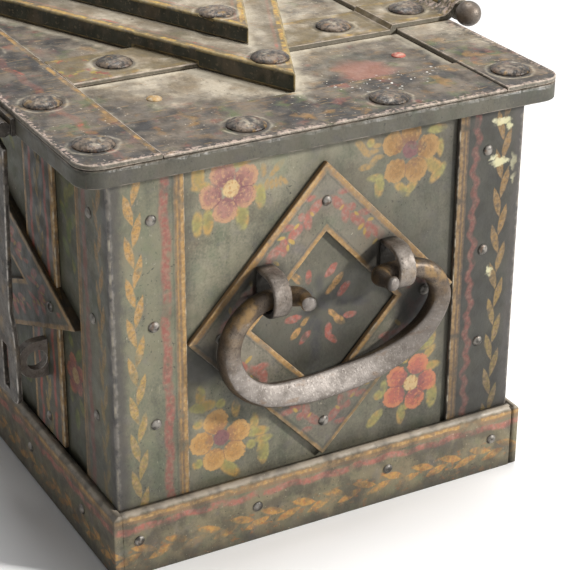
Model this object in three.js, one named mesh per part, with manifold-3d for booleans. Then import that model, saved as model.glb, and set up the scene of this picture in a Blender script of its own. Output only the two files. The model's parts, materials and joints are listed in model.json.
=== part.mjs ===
// Painted iron strongbox: riveted sheet walls bound by straps, a stepped lozenge lid with a ten-bolt lock
// beneath it, two swinging end handles and two front hasps. Millimetres, +Z up, front towards -Y,
// origin on the floor under the middle of the box.
import * as THREE from "three";
import { mergeVertices } from "three/addons/utils/BufferGeometryUtils.js";
import Module from "manifold-3d";

const wasm = await Module();
wasm.setup();

// Driving dimensions of the box
const boxLength = 700; // over the corner straps
const boxDepth = 330;
const boxHeight = 313.5; // to the top of the walls
const sheet = 3; // wall and bottom sheet
const gap = 0.3; // paint and scale between pieces that touch
const strapWidth = 56;
const strapThickness = 3.5;
const plinthHeight = 52;
const plinthThickness = 7;
const plinthChamfer = 3;
const rimFlange = 22; // inward flange that the bolts catch under
const rimThickness = 4;
const rimLeg = 28;

// Lozenge frames on the walls
const frameWidth = 36;
const endFrameThickness = 4;
const frontFrameThickness = 7.5;
const frameTopDrop = 27.5; // upper tip below the top of the walls
const hatchStrapSetback = 97; // from the end face to the front upright strap
const hatchStrapWidth = 55;

// Lid
const lidOverhangEnd = 14.3;
const lidOverhangSide = 22.4;
const lidPlate = 3;
const lidCornerRadius = 16;
const lidRimHeight = 12.5;
const lidRimThickness = 5;
const frontBorderWidth = 57;
const backBorderWidth = 49.3;
const endBorderWidth = 66;
const borderThickness = 3.8;
const endBorderThickness = 2.2;
const crossStrapSetback = 135; // from the end face to the near edge of the cross strap
const crossStrapWidth = 55;
const crossStrapThickness = 3.5;
const lowerTierSetback = 52.5; // from the end face to the tip of the lower tier
const lowerTierHeight = 15;
const upperTierSetback = 71; // ledge of the lower tier left bare at the tip
const upperTierHeight = 13;
const tierSheet = 3;
const keyholeRadius = 6;
const keyholeSlotWidth = 6;
const keyholeSlotLength = 17;

// Rivets
const bossRadius = 15;
const bossHeight = 6.5;
const bossSides = 12;
const studRadius = 4.3;
const studHeight = 2.8;
const studSides = 7;
const lidStudRadius = 6;
const headCollar = 0.6; // upright edge of a head below its dome
const headSink = 1; // head set into its strap
const frontBossInset = 1; // row of bosses from the front face, inwards
const backBossInset = 5;
const hingeBossInset = 1;
const frontCornerInset = 34.3; // from the lid's end edge
const backCornerInset = 29.3;
const frontBossPitch = 121;
const backBossPitch = 125;
const endBossInset = 23.3;
const endBossSpots = [-58, 54];
const crossBossFront = 86; // bosses on the cross straps, from the middle of the box
const crossBossBack = 98;
const fieldStudInset = 104.3;
const fieldStudSpots = [-88, 112];
const lowerTipBoss = 38; // tier bosses, from the tip of the tier
const upperTipBoss = 42;
const upperTipDrift = 5; // set towards the front of the middle line
const upperSideBoss = 24;
const strapStudShares = [0.3636, 0.6061, 0.858]; // of the box's height
const strapStudInset = 31; // from the box corner
const plinthStudHeight = 28;
const longStudPitch = boxLength / 7;
const shortStudShares = [-0.927, -0.352, 0.321, 0.891]; // of half the box's depth
const frameTipStud = 29; // from the tip of an end lozenge
const frameSideStud = 25;
const frontTipStud = 20;
const frontSideStud = 45;
const uprightHeadStud = 18;
const footStud = 14; // from the plinth to the lowest stud of a strap
const backHeadStud = 20;

// Hinges
const pinRadius = 4.2;
const eyeBore = 4.6;
const eyeRadius = 8.5;
const hingeSetback = 32; // axis behind the back straps
const hingeRise = 13.5; // axis above the walls
const pinKnobRadius = 10.5;
const knobNeck = 1.1; // radians from the knob's equator down to the pin
const clenchFlare = 2.5;
const clenchLength = 3.5;
const knuckleGap = 0.5;
const leafBendDrop = 45.5; // where the back strap leaves the wall, below the top of the walls
const leafShelfDrop = 13.5; // where it stands upright again
const hiddenEnd = 30; // end of a cross strap from the middle line, under the lower tier

// Handles
const handleRise = 28.5; // pivot above the middle of the lozenge frame
const handleSpread = 50; // pivot loops left and right of the middle
const handleStandOff = 14; // pivot in front of the lozenge frame
const loopWidth = 14;
const loopOuter = 17;
const loopBand = 4.5;
const loopFoot = 2; // thickness of the clenched bar between a loop's feet
const tipRadius = 5.6;
const eyeSwell = 1.9; // added where the bail lies in its loops
const bodySwell = 1.7; // added beyond them
const gripSwell = 2.6; // added across the grip, and half of it taken off the thickness
const eyeRun = 0.05; // shares of the bail's length, from its tips
const swellStart = 0.1;
const swellRun = 0.14;

// Hasps and their staples
const hingePlate = 3;
const haspEye = 5.5;
const haspPin = 2.6;
const haspBore = 3;
const haspThickness = 4;
const haspWidth = 44;
const haspTail = 23.2; // hasp below the staple's centre
const haspWaist = 30; // narrowing above the slot
const haspBelly = 16;
const haspDrop = 8; // hasp pivot below the lid plate's top
const stapleDrop = 51; // centre of the padlock staple below the middle of the lozenge frame
const stapleReach = 24;
const stapleOuter = 15;
const stapleBar = 7;
const stapleWidth = 8;
const slotClearance = 3;

// Lock
const lockPlate = 4;
const boltThickness = 8;
const boltWidth = 18;
const boltDrop = 1; // running gap between the lock plate and the bolts
const boltThrow = 18;
const boltClearance = 4; // from a drawn bolt to the rim flange
const headWidth = 24;
const headReach = 16; // bolt head beyond its crossbar
const stumpRadius = 4;
const stumpClearance = 0.5;
const stumpStart = 28; // stump from the wheel's centre with the bolts drawn
const wheelRadius = 58;
const wheelThickness = 6;
const wheelGap = 2;
const hubRadius = 11;
const hubClearance = 0.4;
const keeperBar = 4;
const keeperLength = 12;
const coverThickness = 3;
const coverRadius = 82;
const coverGap = 3;
const pillarRadius = 4;
const turnOfKey = Math.PI / 2;

const drawnStumpClear = 0.1; // added round the ends of each spiral slot
const slotOverrun = 0.06; // radians past each end of the throw
const plateCut = 40; // corners taken off the lock plate
const keeperSpots = { right: [120, 230], left: [120, 230], front: [78], back: [78] };
const endCross = 80; // half length of the crossbar at each end
const endHeads = [-68, 68];
const sideCross = 150;
const sideHeads = [-138, 0, 138];
const headChamfer = 4;
const journalRadius = 8;
const petals = 8;
const petalStart = 22;
const petalBelly = 46;
const petalEnd = 66;
const petalSpread = 0.34; // radians either side at the belly's control point
const pillarInset = 10;

// Keyhole cover
const coverPlate = 2.5;
const coverWidth = 17; // radius over the keyhole
const coverPivot = 26; // pivot behind the keyhole
const coverDrift = 4; // plate centre in front of the keyhole's
const coverEar = 9; // radius round the pivot
const postRadius = 3.5;
const postHead = 6;
const postHeadHeight = 2.4;
const buttonRadius = 9;
const buttonHeight = 4;

const colours = {
  paint: [0x5a5b4c, 0.62, 0.25],
  strap: [0x565748, 0.6, 0.3],
  plinth: [0x54503f, 0.65, 0.3],
  lidPaint: [0x7d7566, 0.7, 0.3],
  bareIron: [0x857d76, 0.45, 0.9],
  darkIron: [0x4a4641, 0.5, 0.85],
  lockSteel: [0x6c6a68, 0.4, 0.9],
};

// Heights and planes that several pieces share
const wallX = boxLength / 2 - strapThickness - gap; // outer face of the end panels
const wallY = boxDepth / 2 - strapThickness - gap;
const lidUnder = boxHeight + gap;
const lidTop = lidUnder + lidPlate; // field of the lid
const lidX = boxLength / 2 + lidOverhangEnd;
const lidY = boxDepth / 2 + lidOverhangSide;
const frontSeam = -lidY + frontBorderWidth;
const backSeam = lidY - backBorderWidth;
const lidMiddle = (frontSeam + backSeam) / 2; // middle line of the lozenge tiers
const crossX = boxLength / 2 - crossStrapSetback - crossStrapWidth / 2;
const hatchX = boxLength / 2 - hatchStrapSetback - hatchStrapWidth / 2;
const hingeY = boxDepth / 2 + hingeSetback;
const hingeZ = boxHeight + hingeRise;
const rimInnerX = wallX - sheet - gap - rimFlange;
const rimInnerY = wallY - sheet - gap - rimFlange;
const frameHalfHeight = (boxHeight - frameTopDrop - plinthHeight) / 2 - gap;
const frameMiddle = plinthHeight + gap + frameHalfHeight;
const handleHeight = frameMiddle + handleRise;
const stapleHeight = frameMiddle - stapleDrop;
const leafBend = boxHeight - leafBendDrop;
const leafShelf = boxHeight - leafShelfDrop;

function solidOf(geometry) {
  const bare = new THREE.BufferGeometry();
  bare.setAttribute("position", geometry.getAttribute("position").clone());
  if (geometry.index) bare.setIndex(geometry.index.clone());
  const merged = mergeVertices(bare, 1e-4);
  const triVerts = new Uint32Array(merged.index.array);
  const vertProperties = new Float32Array(merged.attributes.position.array);
  const made = new wasm.Manifold(new wasm.Mesh({ numProp: 3, vertProperties, triVerts }));
  if (made.volume() > 0) return made;
  for (let i = 0; i < triVerts.length; i += 3) {
    [triVerts[i + 1], triVerts[i + 2]] = [triVerts[i + 2], triVerts[i + 1]];
  }
  return new wasm.Manifold(new wasm.Mesh({ numProp: 3, vertProperties, triVerts }));
}

function geometryOf(solid) {
  const mesh = solid.getMesh();
  const geometry = new THREE.BufferGeometry();
  geometry.setAttribute("position", new THREE.BufferAttribute(mesh.vertProperties, 3));
  geometry.setIndex(new THREE.BufferAttribute(mesh.triVerts, 1));
  geometry.computeVertexNormals();
  return geometry;
}

// An outline raised from height low to height high.
function raise(outline, low, high, curveSegments = 6) {
  const geometry = new THREE.ExtrudeGeometry(outline, {
    depth: high - low,
    bevelEnabled: false,
    curveSegments,
  });
  return solidOf(geometry.translate(0, 0, low));
}

function place(solid, matrix) {
  return solid.transform(matrix.elements);
}

function polygon(points) {
  return new THREE.Shape(points.map(([x, y]) => new THREE.Vector2(x, y)));
}

function rectangle(x0, x1, y0, y1) {
  return polygon([[x0, y0], [x1, y0], [x1, y1], [x0, y1]]);
}

function block(x0, x1, y0, y1, z0, z1) {
  return raise(rectangle(x0, x1, y0, y1), z0, z1);
}

function lozenge(halfLength, halfHeight, x = 0, y = 0) {
  return polygon([
    [x + halfLength, y],
    [x, y + halfHeight],
    [x - halfLength, y],
    [x, y - halfHeight],
  ]);
}

function disc(x, y, radius) {
  const outline = new THREE.Shape();
  outline.absarc(x, y, radius, 0, 2 * Math.PI, false);
  return outline;
}

// A domed rivet head that stands on height base and reaches a little into what carries it.
function rivet(x, y, base, radius, height, sides) {
  const rings = radius > 2 * studRadius ? 3 : 2;
  const profile = [new THREE.Vector2(0, -headSink), new THREE.Vector2(radius, -headSink)];
  for (let i = 0; i < rings; i++) {
    const angle = (i / rings) * (Math.PI / 2);
    const rise = headCollar + (height - headCollar) * Math.sin(angle);
    profile.push(new THREE.Vector2(radius * Math.cos(angle), rise));
  }
  profile.push(new THREE.Vector2(0, height));
  const dome = new THREE.LatheGeometry(profile, sides);
  dome.rotateX(Math.PI / 2).translate(x, y, base);
  return solidOf(dome);
}

function boss(x, y, base) {
  return rivet(x, y, base, bossRadius, bossHeight, bossSides);
}

function stud(x, y, base) {
  return rivet(x, y, base, studRadius, studHeight, studSides);
}

// Frame of a wall seen from outside: x to the right, y up, z outwards from the box's own middle.
const wallTurns = { front: 0, right: 90, back: 180, left: 270 };
function wallFrame(side, standOff) {
  return new THREE.Matrix4()
    .makeRotationZ(THREE.MathUtils.degToRad(wallTurns[side]))
    .multiply(new THREE.Matrix4().makeRotationX(Math.PI / 2))
    .multiply(new THREE.Matrix4().makeTranslation(0, 0, standOff));
}

// A section drawn in the plane across X, as (y, z) points, and run from x0 to x1.
function runAlongX(section, x0, x1, curveSegments = 6) {
  const across = new THREE.Matrix4().makeBasis(
    new THREE.Vector3(0, 1, 0),
    new THREE.Vector3(0, 0, 1),
    new THREE.Vector3(1, 0, 0),
  );
  return place(raise(section, x0, x1, curveSegments), across);
}

// A closed skin over rings of points, with both ends capped.
function loft(rings) {
  const count = rings[0].length;
  const points = rings.flat();
  const index = [];
  for (let r = 0; r < rings.length - 1; r++) {
    for (let i = 0; i < count; i++) {
      const a = r * count + i;
      const b = r * count + ((i + 1) % count);
      index.push(a, b, b + count, a, b + count, a + count);
    }
  }
  const last = (rings.length - 1) * count;
  for (let i = 1; i < count - 1; i++) {
    index.push(0, i + 1, i, last, last + i, last + i + 1);
  }
  const geometry = new THREE.BufferGeometry().setFromPoints(points);
  geometry.setIndex(index);
  return solidOf(geometry);
}

const box = new THREE.Group();
const lid = new THREE.Group();
box.add(lid);

function add(name, solid, colour, parent = box) {
  const [hex, roughness, metalness] = colours[colour];
  const material = new THREE.MeshStandardMaterial({ color: hex, roughness, metalness });
  const mesh = new THREE.Mesh(geometryOf(solid), material);
  mesh.name = name;
  parent.add(mesh);
}

// Walls and bottom
function addPanels() {
  const inner = wallY - sheet - gap;
  const endInner = wallX - sheet - gap;
  add("bottom_plate", block(-endInner, endInner, -inner, inner, 0, sheet), "darkIron");
  add("front_panel", block(-wallX, wallX, -wallY, -wallY + sheet, 0, boxHeight), "paint");
  add("back_panel", block(-wallX, wallX, wallY - sheet, wallY, 0, boxHeight), "paint");
  add("right_end_panel", block(wallX - sheet, wallX, -inner, inner, 0, boxHeight), "paint");
  add("left_end_panel", block(-wallX, -wallX + sheet, -inner, inner, 0, boxHeight), "paint");
}

// Corner straps folded round each upright edge, with three studs on each face
function addCornerStraps() {
  const x = boxLength / 2;
  const y = boxDepth / 2;
  const t = strapThickness;
  const w = strapWidth;
  const bend = 2;
  const section = new THREE.Shape();
  section.moveTo(x - w, -y);
  section.lineTo(x - bend, -y);
  section.quadraticCurveTo(x, -y, x, -y + bend);
  section.lineTo(x, -y + w);
  section.lineTo(x - t, -y + w);
  section.lineTo(x - t, -y + t);
  section.lineTo(x - w, -y + t);
  let angle = raise(section, 0, boxHeight, 2);
  for (const share of strapStudShares) {
    const height = share * boxHeight;
    angle = angle.add(place(stud(x - strapStudInset, height, y), wallFrame("front", 0)));
    angle = angle.add(place(stud(-y + strapStudInset, height, x), wallFrame("right", 0)));
  }
  const mirrorX = new THREE.Matrix4().makeScale(-1, 1, 1);
  const mirrorY = new THREE.Matrix4().makeScale(1, -1, 1);
  add("corner_strap_front_right", angle, "strap");
  add("corner_strap_front_left", place(angle, mirrorX), "strap");
  add("corner_strap_back_right", place(angle, mirrorY), "strap");
  add("corner_strap_back_left", place(place(angle, mirrorX), mirrorY), "strap");
}

// Foot bands, chamfered along the upper edge, the long ones lapping the ends of the short ones
function addPlinth() {
  const section = polygon([
    [0, 0],
    [plinthThickness, 0],
    [plinthThickness, plinthHeight - plinthChamfer],
    [plinthThickness - plinthChamfer, plinthHeight],
    [0, plinthHeight],
  ]);
  const upright = new THREE.Matrix4().makeBasis(
    new THREE.Vector3(0, 0, 1),
    new THREE.Vector3(0, 1, 0),
    new THREE.Vector3(-1, 0, 0),
  );
  const band = (halfRun, standOff, studs, side) => {
    let bar = place(raise(section, -halfRun, halfRun), upright);
    for (const along of studs) bar = bar.add(stud(along, plinthStudHeight, plinthThickness));
    return place(bar, wallFrame(side, standOff + gap));
  };
  const longRun = boxLength / 2 + gap + plinthThickness;
  const longStuds = [-3, -2, -1, 0, 1, 2, 3].map((i) => i * longStudPitch);
  add("plinth_front", band(longRun, boxDepth / 2, longStuds, "front"), "plinth");
  add("plinth_back", band(longRun, boxDepth / 2, longStuds, "back"), "plinth");
  const shortRun = boxDepth / 2;
  const shortStuds = shortStudShares.map((share) => share * shortRun);
  add("plinth_right", band(shortRun, boxLength / 2, shortStuds, "right"), "plinth");
  add("plinth_left", band(shortRun, boxLength / 2, shortStuds, "left"), "plinth");
}

// Angle iron inside the mouth of the box: its flange is the keep for every bolt
function addMouthRim() {
  const side = (halfRun, standOff, name) => {
    const mitred = (reach) => polygon([
      [-halfRun + gap, standOff],
      [halfRun - gap, standOff],
      [halfRun - reach - gap, standOff - reach],
      [-halfRun + reach + gap, standOff - reach],
    ]);
    const flange = raise(mitred(rimFlange), boxHeight - rimThickness, boxHeight);
    const leg = raise(mitred(sheet), boxHeight - rimLeg, boxHeight - rimThickness / 2);
    const flat = new THREE.Matrix4().makeRotationZ(THREE.MathUtils.degToRad(wallTurns[name] + 180));
    add("mouth_rim_" + name, place(flange.add(leg), flat), "darkIron");
  };
  const x = wallX - sheet - gap;
  const y = wallY - sheet - gap;
  side(x, y, "front");
  side(x, y, "back");
  side(y, x, "right");
  side(y, x, "left");
}

// A lozenge strap frame with mitred corners and an open middle
function lozengeFrame(halfLength, halfHeight, middle, width, thickness) {
  const slope = Math.atan2(halfHeight, halfLength);
  const outline = lozenge(halfLength, halfHeight, 0, middle);
  const innerLength = halfLength - width / Math.sin(slope);
  const innerHeight = halfHeight - width / Math.cos(slope);
  outline.holes.push(lozenge(innerLength, innerHeight, 0, middle));
  return raise(outline, gap, gap + thickness);
}

function addEndFrames() {
  const halfLength = boxDepth / 2 - strapWidth - gap;
  let frame = lozengeFrame(halfLength, frameHalfHeight, frameMiddle, frameWidth, endFrameThickness);
  const level = gap + endFrameThickness;
  for (const way of [-1, 1]) {
    frame = frame.add(stud(way * (halfLength - frameSideStud), frameMiddle, level));
    frame = frame.add(stud(0, frameMiddle + way * (frameHalfHeight - frameTipStud), level));
  }
  add("right_lozenge_frame", place(frame, wallFrame("right", wallX)), "strap");
  add("left_lozenge_frame", place(frame, wallFrame("left", wallX)), "strap");
}

// Upright straps on the front, and the thicker lozenge frame that is notched to pass over them
function addFrontStraps() {
  const half = hatchStrapWidth / 2;
  const foot = plinthHeight + gap;
  const head = boxHeight;
  const wall = wallFrame("front", wallY);
  let frame = lozengeFrame(
    boxLength / 2 - strapWidth - gap,
    frameHalfHeight,
    frameMiddle,
    frameWidth,
    frontFrameThickness,
  );
  const level = gap + frontFrameThickness;
  for (const way of [-1, 1]) {
    const x = way * hatchX;
    let strap = block(x - half, x + half, foot, head, gap, gap + strapThickness);
    strap = strap.add(stud(x, head - uprightHeadStud, gap + strapThickness));
    strap = strap.add(stud(x, foot + footStud, gap + strapThickness));
    const notch = block(x - half - gap, x + half + gap, foot - 1, head, 0, 2 * gap + strapThickness);
    frame = frame.subtract(notch);
    frame = frame.add(stud(way * (boxLength / 2 - strapWidth - frontSideStud), frameMiddle, level));
    frame = frame.add(stud(0, frameMiddle + way * (frameHalfHeight - frontTipStud), level));
    const name = way > 0 ? "front_upright_right" : "front_upright_left";
    add(name, place(strap, wall), "strap");
  }
  add("front_lozenge_frame", place(frame, wall), "strap");
}

// Rolled eye of a strap: a ring round the hinge axis with a bore for the pin
const eyeSegments = 7;
function hingeEye(x0, x1, y, z, radius, bore) {
  const ring = disc(y, z, radius);
  ring.holes.push(disc(y, z, bore));
  return runAlongX(ring, x0, x1, eyeSegments);
}

const knuckle = (crossStrapWidth - 2 * knuckleGap) / 3;

// Back straps: they climb the wall, step out round the lid's edge and end in the middle knuckle
function addBackStraps() {
  const t = strapThickness;
  const foot = plinthHeight + gap;
  const inner = wallY + gap;
  const outer = hingeY - eyeRadius;
  const shoulder = boxHeight - 1;
  const lower = polygon([
    [inner, foot],
    [inner + t, foot],
    [inner + t, leafBend - 1],
    [outer + t, leafShelf - 1],
    [outer + t, shoulder],
    [outer, shoulder],
    [outer, leafShelf],
    [inner, leafBend],
  ]);
  const neck = rectangle(outer, outer + t, shoulder - 1, hingeZ);
  for (const way of [-1, 1]) {
    const x = way * crossX;
    const half = crossStrapWidth / 2;
    let strap = runAlongX(lower, x - half, x + half);
    strap = strap.add(runAlongX(neck, x - knuckle / 2, x + knuckle / 2));
    strap = strap.add(hingeEye(x - knuckle / 2, x + knuckle / 2, hingeY, hingeZ, eyeRadius, eyeBore));
    strap = strap.subtract(block(x - half, x + half, hingeY - eyeBore, hingeY + eyeBore, hingeZ - 0.1, hingeZ));
    for (const height of [foot + footStud, frameMiddle, leafBend - backHeadStud]) {
      strap = strap.add(place(stud(-x, height, inner + t), wallFrame("back", 0)));
    }
    add(way > 0 ? "back_strap_right" : "back_strap_left", strap, "strap");
  }
}

// Hinge pins with a forged knob on the outer end and a clenched inner end
function addHingePins() {
  const half = crossStrapWidth / 2;
  const knobStart = half + knuckleGap;
  const clench = -half - knuckleGap;
  const profile = [new THREE.Vector2(0, clench - clenchLength)];
  profile.push(new THREE.Vector2(pinRadius + clenchFlare, clench - clenchLength + 1));
  profile.push(new THREE.Vector2(pinRadius + clenchFlare, clench));
  profile.push(new THREE.Vector2(pinRadius, clench));
  profile.push(new THREE.Vector2(pinRadius, knobStart));
  const arc = 5;
  for (let i = 0; i <= arc; i++) {
    const angle = -knobNeck + (i / arc) * (knobNeck + Math.PI / 2);
    const reach = i === arc ? 0 : pinKnobRadius * Math.cos(angle);
    const along = knobStart + pinKnobRadius * (Math.sin(angle) + Math.sin(knobNeck));
    profile.push(new THREE.Vector2(reach, along));
  }
  const pin = new THREE.LatheGeometry(profile, 14).rotateZ(-Math.PI / 2);
  const right = pin.clone().translate(crossX, hingeY, hingeZ);
  const left = pin.clone().rotateZ(Math.PI).translate(-crossX, hingeY, hingeZ);
  add("hinge_pin_right", solidOf(right), "bareIron");
  add("hinge_pin_left", solidOf(left), "bareIron");
}

// Flat iron loops that carry the handles
const frameFace = wallX + gap + endFrameThickness; // outer face of the end lozenge frames
const pivotX = frameFace + handleStandOff;
const loopHeight = handleHeight + loopOuter - loopBand - tipRadius - eyeSwell - gap; // the bail lies on its loops

function addHandleLoops() {
  const outline = (radius, foot) => {
    const arch = new THREE.Shape();
    arch.moveTo(foot, -radius);
    arch.lineTo(handleStandOff, -radius);
    arch.absarc(handleStandOff, 0, radius, -Math.PI / 2, Math.PI / 2, false);
    arch.lineTo(foot, radius);
    return arch;
  };
  const across = new THREE.Matrix4().makeBasis(
    new THREE.Vector3(1, 0, 0),
    new THREE.Vector3(0, 0, 1),
    new THREE.Vector3(0, -1, 0),
  );
  const half = loopWidth / 2;
  const arch = raise(outline(loopOuter, gap), -half, half, 7)
    .subtract(raise(outline(loopOuter - loopBand, -1), -loopWidth, loopWidth, 7));
  const foot = raise(rectangle(gap, gap + loopFoot, -loopOuter + 1, loopOuter - 1), -half, half);
  const loop = place(arch.add(foot), across);
  for (const end of [1, -1]) {
    for (const side of [1, -1]) {
      const seat = new THREE.Matrix4().makeTranslation(frameFace, side * handleSpread, loopHeight);
      const turn = new THREE.Matrix4().makeRotationZ(end > 0 ? 0 : Math.PI);
      const name = (end > 0 ? "right" : "left") + "_handle_loop_" + (side * end > 0 ? "back" : "front");
      add(name, place(place(loop, seat), turn), "bareIron");
    }
  }
}

// Forged bail: tips curled outwards, through the loops, down to a flattened grip. Its line is given in
// shares of the spread of the loops.
function addHandles() {
  const bend = [
    [0.48, -0.68, 0.05],
    [0.26, -0.64, 0.04],
    [0.08, -0.69, 0.02],
    [0, -0.84, 0],
    [0, -1.14, 0.006],
    [0, -1.4, -0.12],
    [0, -1.6, -0.36],
    [0, -1.69, -0.72],
    [0, -1.54, -1.15],
    [0, -1.16, -1.45],
    [0, -0.54, -1.55],
    [0, 0.04, -1.53],
    [0, 0.6, -1.45],
    [0, 1.12, -1.27],
    [0, 1.54, -0.97],
    [0, 1.76, -0.55],
    [0, 1.64, -0.2],
    [0, 1.4, -0.04],
    [0, 1.14, 0.006],
    [0, 0.84, 0],
    [0.08, 0.69, 0.02],
    [0.26, 0.64, 0.04],
    [0.48, 0.68, 0.05],
  ];
  const line = new THREE.CatmullRomCurve3(
    bend.map((shares) => new THREE.Vector3(...shares).multiplyScalar(handleSpread)),
    false,
    "centripetal",
  );
  const steps = 42;
  const sides = 8;
  const frames = line.computeFrenetFrames(steps, false);
  const rings = [];
  for (let i = 0; i <= steps; i++) {
    const along = i / steps;
    const grip = Math.sin(Math.PI * along) ** 6;
    const fromTip = Math.min(along, 1 - along);
    const eye = Math.min(1, fromTip / eyeRun);
    const swell = Math.min(1, Math.max(0, (fromTip - swellStart) / swellRun));
    const round = tipRadius + eyeSwell * eye + bodySwell * swell;
    const inPlane = round + gripSwell * grip;
    const through = round - (gripSwell / 2) * grip;
    const centre = line.getPointAt(along);
    const ring = [];
    for (let s = 0; s < sides; s++) {
      const angle = (s / sides) * 2 * Math.PI;
      ring.push(
        centre
          .clone()
          .addScaledVector(frames.normals[i], inPlane * Math.cos(angle))
          .addScaledVector(frames.binormals[i], through * Math.sin(angle)),
      );
    }
    rings.push(ring);
  }
  const bail = loft(rings);
  const seat = new THREE.Matrix4().makeTranslation(pivotX, 0, handleHeight);
  const turn = new THREE.Matrix4().makeRotationZ(Math.PI);
  add("right_handle", place(bail, seat), "bareIron");
  add("left_handle", place(place(bail, seat), turn), "bareIron");
}

// Padlock staples that stand out of the front upright straps
function addStaples() {
  const r = stapleOuter;
  const outline = new THREE.Shape();
  outline.moveTo(0, -r);
  outline.lineTo(stapleReach - r, -r);
  outline.absarc(stapleReach - r, 0, r, -Math.PI / 2, Math.PI / 2, false);
  outline.lineTo(0, r);
  const inner = r - stapleBar;
  const eye = disc(stapleReach - r, 0, inner);
  outline.holes.push(eye);
  const across = new THREE.Matrix4().makeBasis(
    new THREE.Vector3(0, 0, 1),
    new THREE.Vector3(0, 1, 0),
    new THREE.Vector3(-1, 0, 0),
  );
  const staple = place(raise(outline, -stapleWidth / 2, stapleWidth / 2, 7), across);
  const face = wallY + gap + strapThickness + gap;
  for (const way of [-1, 1]) {
    const seat = new THREE.Matrix4().makeTranslation(way * hatchX, stapleHeight, 0);
    const name = way > 0 ? "hasp_staple_right" : "hasp_staple_left";
    add(name, place(place(staple, seat), wallFrame("front", face)), "bareIron");
  }
}

// Lid plate, with rounded corners and the key's way through it, inside a rim that hides its edges
const lidCornerSegments = 3;
function lidOutline(inset) {
  const x = lidX - inset;
  const y = lidY - inset;
  const r = Math.max(1, lidCornerRadius - inset);
  const outline = new THREE.Shape();
  outline.moveTo(-x + r, -y);
  outline.lineTo(x - r, -y);
  outline.absarc(x - r, -y + r, r, -Math.PI / 2, 0, false);
  outline.lineTo(x, y - r);
  outline.absarc(x - r, y - r, r, 0, Math.PI / 2, false);
  outline.lineTo(-x + r, y);
  outline.absarc(-x + r, y - r, r, Math.PI / 2, Math.PI, false);
  outline.lineTo(-x, -y + r);
  outline.absarc(-x + r, -y + r, r, Math.PI, 1.5 * Math.PI, false);
  return outline;
}

// Round bore with a slot towards the front for the key's bit
function keyhole(low, high, growth = 0) {
  const bore = raise(disc(0, lidMiddle, keyholeRadius + growth), low, high, 6);
  const half = keyholeSlotWidth / 2 + growth;
  return bore.add(block(-half, half, lidMiddle - keyholeSlotLength - growth, lidMiddle, low, high));
}

function addLidPlate() {
  let plate = raise(lidOutline(lidRimThickness + gap), lidUnder, lidTop, lidCornerSegments);
  const keyway = raise(disc(0, lidMiddle, hubRadius + hubClearance), lidUnder - 1, lidTop + 1, 6);
  for (const x of [fieldStudInset - lidX, lidX - fieldStudInset]) {
    for (const y of fieldStudSpots) {
      plate = plate.add(rivet(x, y, lidTop, lidStudRadius, studHeight, studSides));
    }
  }
  add("lid_plate", plate.subtract(keyway), "lidPaint", lid);
  const rim = lidOutline(0);
  rim.holes.push(lidOutline(lidRimThickness));
  const foot = lidUnder - gap - lidRimHeight + lidPlate;
  add("lid_rim", raise(rim, foot, lidTop, lidCornerSegments), "lidPaint", lid);
}

// Border straps on the four edges of the lid, with domed bosses
function addLidBorders() {
  const low = lidTop;
  const top = lidTop + gap + borderThickness;
  const endTop = lidTop + gap + endBorderThickness;
  const rimArea = raise(lidOutline(0), lidTop + gap, top, lidCornerSegments);
  const border = (name, area, bosses, level) => {
    let strap = rimArea.intersect(area);
    for (const [x, y] of bosses) strap = strap.add(boss(x, y, level));
    add(name, strap, "lidPaint", lid);
  };
  const frontRow = [-2, -1, 0, 1, 2].map((i) => i * frontBossPitch);
  const frontX = [frontCornerInset - lidX, ...frontRow, lidX - frontCornerInset];
  const backCorner = lidX - backCornerInset;
  const backX = [-backCorner, -backBossPitch / 2, backBossPitch / 2, backCorner];
  const frontY = -boxDepth / 2 + frontBossInset;
  const backY = boxDepth / 2 - backBossInset;
  const frontArea = block(-lidX - 1, lidX + 1, -lidY - 1, frontSeam, low, top);
  const backArea = block(-lidX - 1, lidX + 1, backSeam, lidY + 1, low, top);
  border("lid_front_border", frontArea, frontX.map((x) => [x, frontY]), top);
  border("lid_back_border", backArea, backX.map((x) => [x, backY]), top);
  const innerX = lidX - endBorderWidth;
  const endReach = lidX - endBossInset;
  const rightArea = block(innerX, lidX + 1, frontSeam + gap, backSeam - gap, low, endTop);
  const leftArea = block(-lidX - 1, -innerX, frontSeam + gap, backSeam - gap, low, endTop);
  border("lid_right_border", rightArea, endBossSpots.map((y) => [endReach, y]), endTop);
  border("lid_left_border", leftArea, endBossSpots.map((y) => [-endReach, y]), endTop);
}

const tierHalfLength = boxLength / 2 - lowerTierSetback;
const tierHalfHeight = (backSeam - frontSeam) / 2 - gap;
const tierBase = lidTop + gap;
const ledgeTop = tierBase + lowerTierHeight;
const crown = ledgeTop + gap + upperTierHeight;

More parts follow.
